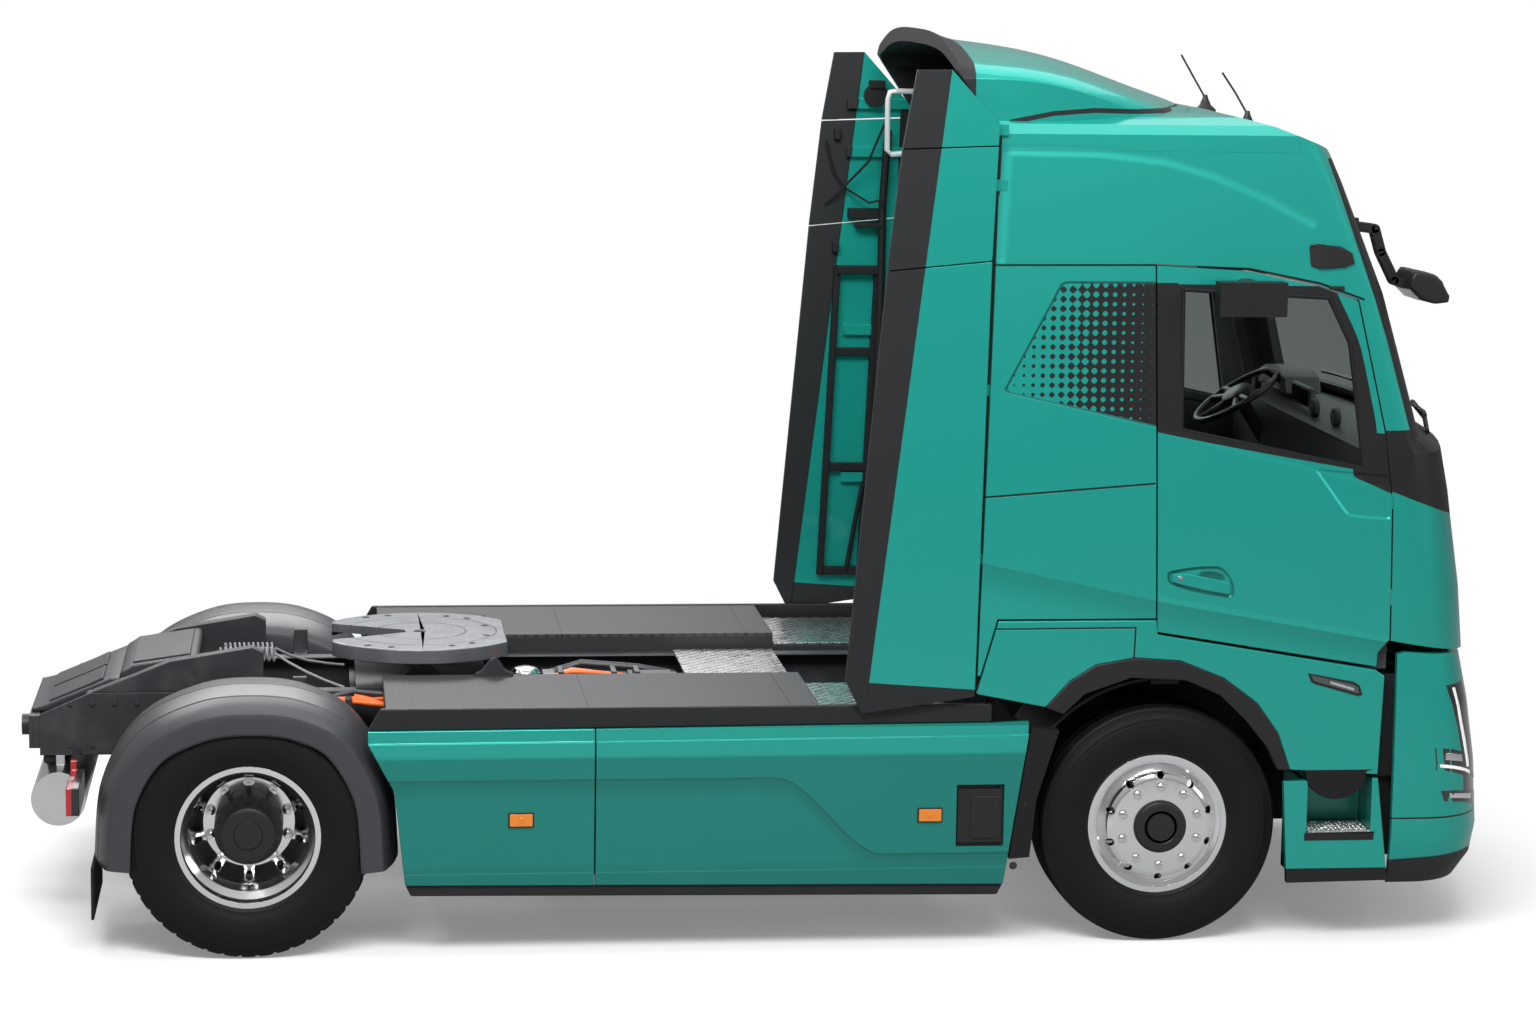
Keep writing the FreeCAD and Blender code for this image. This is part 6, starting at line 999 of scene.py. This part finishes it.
near, far, ladder_foot, ladder_lean = 1.18, 1.221, 1.18, 0.041
ladder = Form()
for z in (1.20, 1.70, 2.25):
    shift = (z - ladder_foot) * ladder_lean
    ladder.block(2.66 + shift, 2.86 + shift, 1.185, 1.215, z - 0.02, z + 0.02)
for x in (2.665, 2.858):
    ladder.between(*[[(x0, near, z), (x1, near, z), (x1, far, z), (x0, far, z)]
                     for x0, x1, z in ((x - 0.015, x + 0.015, ladder_foot), (x + 0.045, x + 0.075, 2.65))])
ladder.block(2.77, 2.93, 1.17, 1.221, 2.88, 2.93)
ladder.block(2.80, 2.93, 1.15, 1.20, 2.84, 2.862)
ladder.block(2.72, 2.93, 1.16, 1.21, 2.62, 2.66)
ladder.tube([(2.90, 1.17, 1.1), (2.915, 1.17, 1.8), (2.93, 1.17, 2.55), (2.93, 1.17, 2.95),
             (2.95, 1.17, 3.3)], 0.02)
ladder.tube([(2.79, 1.19, 1.20), (2.83, 1.18, 1.45), (2.86, 1.17, 1.62)], 0.012)
ladder.turned((2.889, 1.16, 3.46), "Y", [(0, 0.055), (0.03, 0.055), (0.06, 0.04)], 24)
ladder.block(2.86, 2.93, 1.15, 1.22, 3.49, 3.53)
for z in (2.72, 3.25):
    ladder.block(2.70, 2.73, 1.19, 1.221, z, z + 0.05)
ladder.both()
ladder.done("deflector_frames", "cab", liner, "dark_trim", 0.004)
pipes = Form()
pipes.tube([(2.93, 1.10, 3.35), (2.85, 1.12, 3.15), (2.72, 1.19, 3.0), (2.66, 1.2, 2.95)], 0.006, 6)
pipes.tube([(2.93, 1.10, 2.98), (2.86, 1.12, 2.96), (2.76, 1.19, 3.02), (2.70, 1.2, 3.10),
            (2.66, 1.2, 3.25)], 0.006, 6)
pipes.both()
pipes.done("deflector_pipes", "cab", liner, "dark_trim", 0, smooth=1.0)
white_rail = Finish("white_rail", (0.75, 0.75, 0.76), 0.3, 0.2, (80, 2, 0.05))
rails = Form()
rails.tube([(3.045, 0.90, 3.21), (2.925, 0.90, 3.20), (2.905, 0.90, 3.22), (2.905, 0.90, 3.45),
            (2.915, 0.90, 3.485), (2.945, 0.90, 3.49), (3.045, 0.90, 3.49)], 0.013)
rails.done("grab_rail", "cab", white_rail, "polished_alloy", 0, smooth=1.0)
joints = Form()
joint_width = 0.002
for ends in (((2.60, 2.845), (2.99, 2.883)), ((2.655, 3.341), (2.72, 3.3425))):
    joints.between(*[[(x, 1.225, z), (x, 1.245, z), (x, 1.245, z + joint_width), (x, 1.225, z + joint_width)]
                     for x, z in ends])
joints.done("deflector_joints", "cab", white_rail, "polished_alloy", 0)
upright = [(2.975, 1.10), (3.015, 1.10), (3.055, 3.43), (3.015, 3.43)]
seals = Form()
for outline, y0, y1 in ((upright, -1.221, -1.208),
                        ([(2.60, 2.83), (3.0, 2.868), (3.0, 2.90), (2.60, 2.862)], -1.221, -1.212),
                        ([(2.65, 3.325), (3.03, 3.337), (3.03, 3.37), (2.65, 3.358)], -1.221, -1.212),
                        (upright, 1.208, 1.221)):
    seals.plate(outline, y0, y1)
seals.done("deflector_seals", "cab", liner, "dark_trim", 0.002)

# Front mirror. A flat black arm, bent from bar and bolted to the header, that carries a wide-angle glass in
# a rounded moulded shell over the near corner of the bumper.
mirror_y, arm_half, arm_width = -0.825, 0.021, 0.026
shell = Form()
shell.between(*[[(4.868 + out, mirror_y + w, up) for out, up in
                 [(0.0, 2.750 + lift), (0.008, 2.812 - dip), (0.022, 2.832 - dip), (0.115, 2.812 - dip),
                  (0.140, 2.790 - dip), (0.172, 2.706 + lift), (0.168, 2.692 + lift), (0.118, 2.686 + lift),
                  (0.048, 2.704 + lift)]]
                for w, lift, dip in ((-0.125, 0.020, 0.018), (-0.116, 0.004, 0.004), (-0.06, 0.0, 0.0),
                                     (0.06, 0.0, 0.0), (0.116, 0.004, 0.004), (0.125, 0.020, 0.018))])
bends = [(4.640, 3.010), (4.735, 2.998), (4.765, 2.90), (4.828, 2.780), (4.885, 2.762)]
for (x0, z0), (x1, z1) in zip(bends, bends[1:]):
    thick = arm_half * Vector((z0 - z1, x1 - x0)).normalized()
    corners = ((-1, -1), (1, -1), (1, 1), (-1, 1))
    shell.between(*[[(x + up * thick.x, mirror_y + out * arm_width, z + up * thick.y) for up, out in corners]
                    for x, z in ((x0, z0), (x1, z1))])
    shell.turned((x1, mirror_y - arm_width, z1), "Y", [(0, arm_half), (2 * arm_width, arm_half)], 16)
shell.block(4.58, 4.66, -0.86, -0.79, 2.985, 3.045)
shell.done("mirror_shell", "cab", moulding, "dark_trim", 0.005, ["front_mirror"])
looking = Form()
looking.between(*[[(x, -0.94, z), (x, -0.71, z), (x + 0.047, -0.71, z - 0.046), (x + 0.047, -0.94, z - 0.046)]
                  for x, z in ((4.868, 2.752), (4.8655, 2.749))])
looking.done("mirror_glass", "cab", nut_chrome, "polished_alloy", 0.001)

# Wipers. Two black arms on spindles, pressed from sheet, with long rubber blades parked along the foot of
# the windscreen and curved as it is.
blades = Form()
for y0, y1 in ((-0.85, 0.02), (-0.05, 0.82)):
    edge = []
    for k in range(9):
        y = y0 + (y1 - y0) * k / 8
        edge.append((5.049 - 0.105 * max(0, abs(y) - 0.1) ** 1.7 - (0.012 if abs(y) > 0.8 else 0), y))
    blades.tube([(x + 0.012, y, 2.205) for x, y in edge], 0.009, 6)
    blades.tube([(edge[0][0] + 0.03, y0 + 0.02, 2.13), (edge[2][0] + 0.035, edge[2][1], 2.17),
                 (edge[4][0] + 0.022, edge[4][1], 2.21)], 0.012, 6)
blades.done("wipers", "cab", moulding, "dark_trim", 0, smooth=1.0)

# Cab inside. A grey moulded floor tray, a deep moulded dashboard screwed across the front, with a hooded
# binnacle and two screens, and a leather-rimmed wheel with three spokes.
tray = Finish("floor_tray", (0.055, 0.055, 0.058), 0.7, 0, (120, 3, 0.2))
dress("cab_floor", tray, 0.004)
dash = Finish("dash_moulding", (0.045, 0.046, 0.05), 0.55, 0, (320, 3, 0.25))
dress("dashboard", dash, 0.02)
wheel = Finish("wheel_leather", (0.018, 0.018, 0.019), 0.5, 0, (240, 3, 0.25))
dress("steering_wheel", wheel, 0.002, 1.0)
console = Form()
console.bar([(0.36, 2.15), (0.88, 2.15), (0.84, 2.225), (0.76, 2.245), (0.48, 2.245), (0.40, 2.225)],
            4.69, 4.86)
console.bar([(-0.02, 2.13), (0.30, 2.13), (0.30, 2.22), (-0.02, 2.22)], 4.70, 4.73)
console.block(4.55, 4.75, -0.15, 0.25, 1.75, 1.90)
for y in (-0.95, -0.45, -0.1, 0.95):
    console.turned((4.70, y, 2.145), "X", [(-0.012, 0.04), (0.02, 0.045)], 20)
console.done("dash_binnacle", "cab", dash, "cab_inner", 0.008)
panel = Finish("screen_glass", (0.008, 0.009, 0.011), 0.08, 0, (2, 1, 0.01))
screens = Form()
screens.bar([(0.0, 2.138), (0.28, 2.138), (0.28, 2.212), (0.0, 2.212)], 4.6985, 4.7005)
screens.bar([(0.46, 2.165), (0.78, 2.165), (0.76, 2.228), (0.48, 2.228)], 4.6885, 4.6905)
screens.done("dash_screens", "cab", panel, "lamp_clear", 0.001)
hub = Form()
tilt = math.radians(33)
hub_spots = 20
wheel_x, wheel_y, wheel_z = 4.53, 0.62, 2.117


def on_wheel(forward, left, out):
    """A place on the tilted steering wheel, from its middle, in metres."""
    return (wheel_x + forward * math.cos(tilt) - out * math.sin(tilt), wheel_y + left,
            wheel_z + forward * math.sin(tilt) + out * math.cos(tilt))


turn = [2 * math.pi * k / hub_spots for k in range(hub_spots)]
hub.between(*[[on_wheel(0.072 * math.cos(t) * share, 0.085 * math.sin(t) * share, out) for t in turn]
              for share, out in ((0.9, -0.02), (1.0, 0.0), (0.98, 0.018), (0.8, 0.028), (0.3, 0.032))])
for t in map(math.radians, (200, 340, 270)):
    hub.tube([on_wheel(reach * math.sin(t), reach * math.cos(t), 0) for reach in (0.05, 0.12, 0.212)], 0.014)
hub.done("wheel_hub", "cab", wheel, "cab_inner", 0, smooth=0.8)

# Seats and bunk. Foam cushions covered in woven cloth with dark stitched edges, on moulded pedestals, and a
# mattress on a box across the back wall.
cloth = Finish("seat_cloth", (0.060, 0.060, 0.064), 0.88, 0, sheen_weight=0.3)
weave = cloth.node("ShaderNodeTexChecker", {}, {"Vector": cloth.place(), "Scale": 420.0}, "Fac")
cloth.bump(weave + cloth.noise(30, 3) * 0.6, 0.35, 0.001)
stitch = abs(abs(abs(cloth.along("Y")) - 0.62) - 0.135) < 0.004
cloth.paint((0.060, 0.060, 0.064), (stitch, (0.015, 0.015, 0.016)))


def cushion(form, x0, x1, y0, y1, z0, z1, crown, axis):
    """A stuffed block: a grid over each face, rounded at its corners and swollen towards its middle."""
    mid = Vector(((x0 + x1) / 2, (y0 + y1) / 2, (z0 + z1) / 2))
    half = Vector(((x1 - x0) / 2, (y1 - y0) / 2, (z1 - z0) / 2))
    count, power = 10, 7
    grid = {}
    for face in range(3):
        for sign in (-1, 1):
            for i in range(count):
                for j in range(count):
                    quad = []
                    for a, b in ((i, j), (i + 1, j), (i + 1, j + 1), (i, j + 1)):
                        spot = [0.0, 0.0, 0.0]
                        spot[face] = sign
                        spot[(face + 1) % 3] = a * 2 / count - 1
                        spot[(face + 2) % 3] = b * 2 / count - 1
                        key = tuple(round(c, 4) for c in spot)
                        if key not in grid:
                            norm = sum(abs(c) ** power for c in spot) ** (1 / power)
                            out = [c / norm for c in spot]
                            middle = (1 - out[(axis + 1) % 3] ** 2) * (1 - out[(axis + 2) % 3] ** 2)
                            out[axis] *= 1 - crown * (1 - middle)
                            place = [mid[n] + half[n] * out[n] for n in range(3)]
                            grid[key] = form.mesh.verts.new((place[0] + REAR, place[1], place[2]))
                        quad.append(grid[key])
                    form.mesh.faces.new(quad if sign > 0 else list(reversed(quad)))


seat_middles = (-0.62, 0.62)
stuffed = Form()
for y in seat_middles:
    cushion(stuffed, 3.86, 4.37, y - 0.25, y + 0.25, 1.645, 1.77, 0.30, 2)
    cushion(stuffed, 3.80, 3.92, y - 0.25, y + 0.25, 1.70, 2.44, 0.22, 0)
    cushion(stuffed, 3.80, 3.90, y - 0.12, y + 0.12, 2.45, 2.61, 0.25, 0)
stuffed.done("seat_cushions", "cab", cloth, "seat_cloth", 0, smooth=3.0)
pillars = Form()
for y in seat_middles:
    pillars.block(3.95, 4.28, y - 0.17, y + 0.17, 1.211, 1.56)
    pillars.block(3.90, 4.33, y - 0.20, y + 0.20, 1.56, 1.643)
    for post in (y - 0.07, y + 0.07):
        pillars.tube([(3.855, post, 2.40), (3.855, post, 2.50)], 0.008)
pillars.done("seat_pillars", "cab", dash, "cab_inner", 0.012, ["seats"])
bed = Form()
cushion(bed, 3.075, 3.68, -1.11, 1.11, 1.64, 1.79, 0.12, 2)
bed.done("bunk_mattress", "cab", cloth, "seat_cloth", 0, smooth=3.0)
base = Form()
base.block(3.075, 3.64, -1.11, 1.11, 1.211, 1.636)
base.done("bunk_base", "cab", tray, "cab_inner", 0.01, ["bunk"])

# Bumper and lamps. A painted moulded bumper round the front with a black air dam, and lamp units behind
# black lenses, each lit by an upright bar with a foot that runs out to the corner.
front_paint = teal("bumper_paint")
x, y, z = front_paint.places()
lip = z - 0.352 - (x - 4.79).least(0.5).most(0.0) * 0.06
dam = (lip < 0).most((z < 0.60) * (y < 0.55) * (z > 0.42))
grille = (z > 0.66) * (z < 1.0) * (y < 0.60)
slat_pitch = 0.03
slats = z.zigzag(slat_pitch) / slat_pitch
joint_height = 0.535
joint = abs(z - joint_height)
front_paint.paint(TEAL, (joint < 0.003, near_black),
                  (dam.most(grille * (slats < 0.7)), (0.020, 0.020, 0.022)))
unpainted(front_paint, dam, 0.2, 0.05)
front_paint.bump(lip.ramp(-0.004, 0.004) + joint.ramp(0.0, 0.006) + grille * slats.ramp(0.6, 0.8)
                 + front_paint.flake, 1.0, 0.006)
dress("bumper", front_paint, 0.004, 0.35)
lamp_black = Finish("lamp_black", (0.012, 0.012, 0.013), 0.12, 0, (5, 2, 0.02), coat_weight=1.0)
dress("headlamps", lamp_black, 0.003)


def laid(form, names, first, second, proud, depth, across):
    """A thin piece laid on the truck's front between two lines of (y, z), following the parts beneath."""
    outer = []
    inner = []
    clear_of_edge = 0.997
    for (y0, z0), (y1, z1) in zip(first, second):
        top, foot = [], []
        for k in range(across + 1):
            y = y0 + (y1 - y0) * k / across
            z = z0 + (z1 - z0) * k / across
            found = []
            while not found:
                found = [spot.x for spot in (struck(name, y, z) for name in names) if spot]
                y *= 1 if found else clear_of_edge
            top.append((max(found) - REAR + proud, y, z))
            foot.append((max(found) - REAR - depth, y, z))
        outer.append(top)
        inner.append(foot)
    form.between(*[o + list(reversed(i)) for o, i in zip(outer, inner)])


def struck(name, y, z):
    """Where a level line from well ahead of the truck first meets a part of the frame, or None."""
    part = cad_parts[name]
    well_ahead = 6
    found, spot = part.ray_cast(Vector((REAR + well_ahead, y, z)), Vector((-1, 0, 0)))[:2]
    return spot if found else None


def span(first, second, count):
    """Points spread evenly along a line."""
    return [(first[0] + (second[0] - first[0]) * k / count, first[1] + (second[1] - first[1]) * k / count)
            for k in range(count + 1)]


faces = ("bumper", "headlamps")
glow = Finish("light_bar", (0.85, 0.86, 0.88), 0.2, 0, coat_weight=1.0, emission_strength=0.25)
glow.shader.inputs["Emission Color"].default_value = (1, 1, 1, 1)
glow.bump(glow.along("Z").zigzag(0.006) * 80, 0.15, 0.001)
for name, finish, slot, strips in (
        ("lamp_housings", lamp_black, "dark_trim", (
            ((-1.205, 1.10), (-1.16, 0.72), (-1.10, 1.10), (-1.03, 0.66), 12, 0.003, 0.006, 6),
            ((-1.238, 0.838), (-1.24, 0.742), (-1.16, 0.80), (-1.15, 0.69), 4, 0.004, 0.004, 6),
            ((-1.236, 0.652), (-1.05, 0.612), (-1.230, 0.604), (-1.055, 0.552), 10, 0.003, 0.004, 3))),
        ("light_bars", glow, "lamp_clear", (
            ((-1.186, 1.085), (-1.150, 0.735), (-1.174, 1.085), (-1.134, 0.735), 12, 0.006, 0.0, 2),
            ((-1.238, 0.766), (-1.128, 0.715), (-1.237, 0.752), (-1.128, 0.700), 8, 0.007, 0.0, 2))),
        ("lamp_bowls", bright, "lamp_clear", (
            ((-1.226, 0.812), (-1.18, 0.795), (-1.228, 0.782), (-1.18, 0.765), 4, 0.0065, 0.0, 2),
            ((-1.222, 0.636), (-1.12, 0.614), (-1.220, 0.616), (-1.12, 0.590), 6, 0.0055, 0.0, 2)))):
    units = Form()
    for start, stop, other_start, other_stop, count, proud, depth, across in strips:
        laid(units, faces, span(start, stop, count), span(other_start, other_stop, count), proud, depth,
             across)
    units.both()
    units.done(name, "chassis", finish, slot, 0.001)
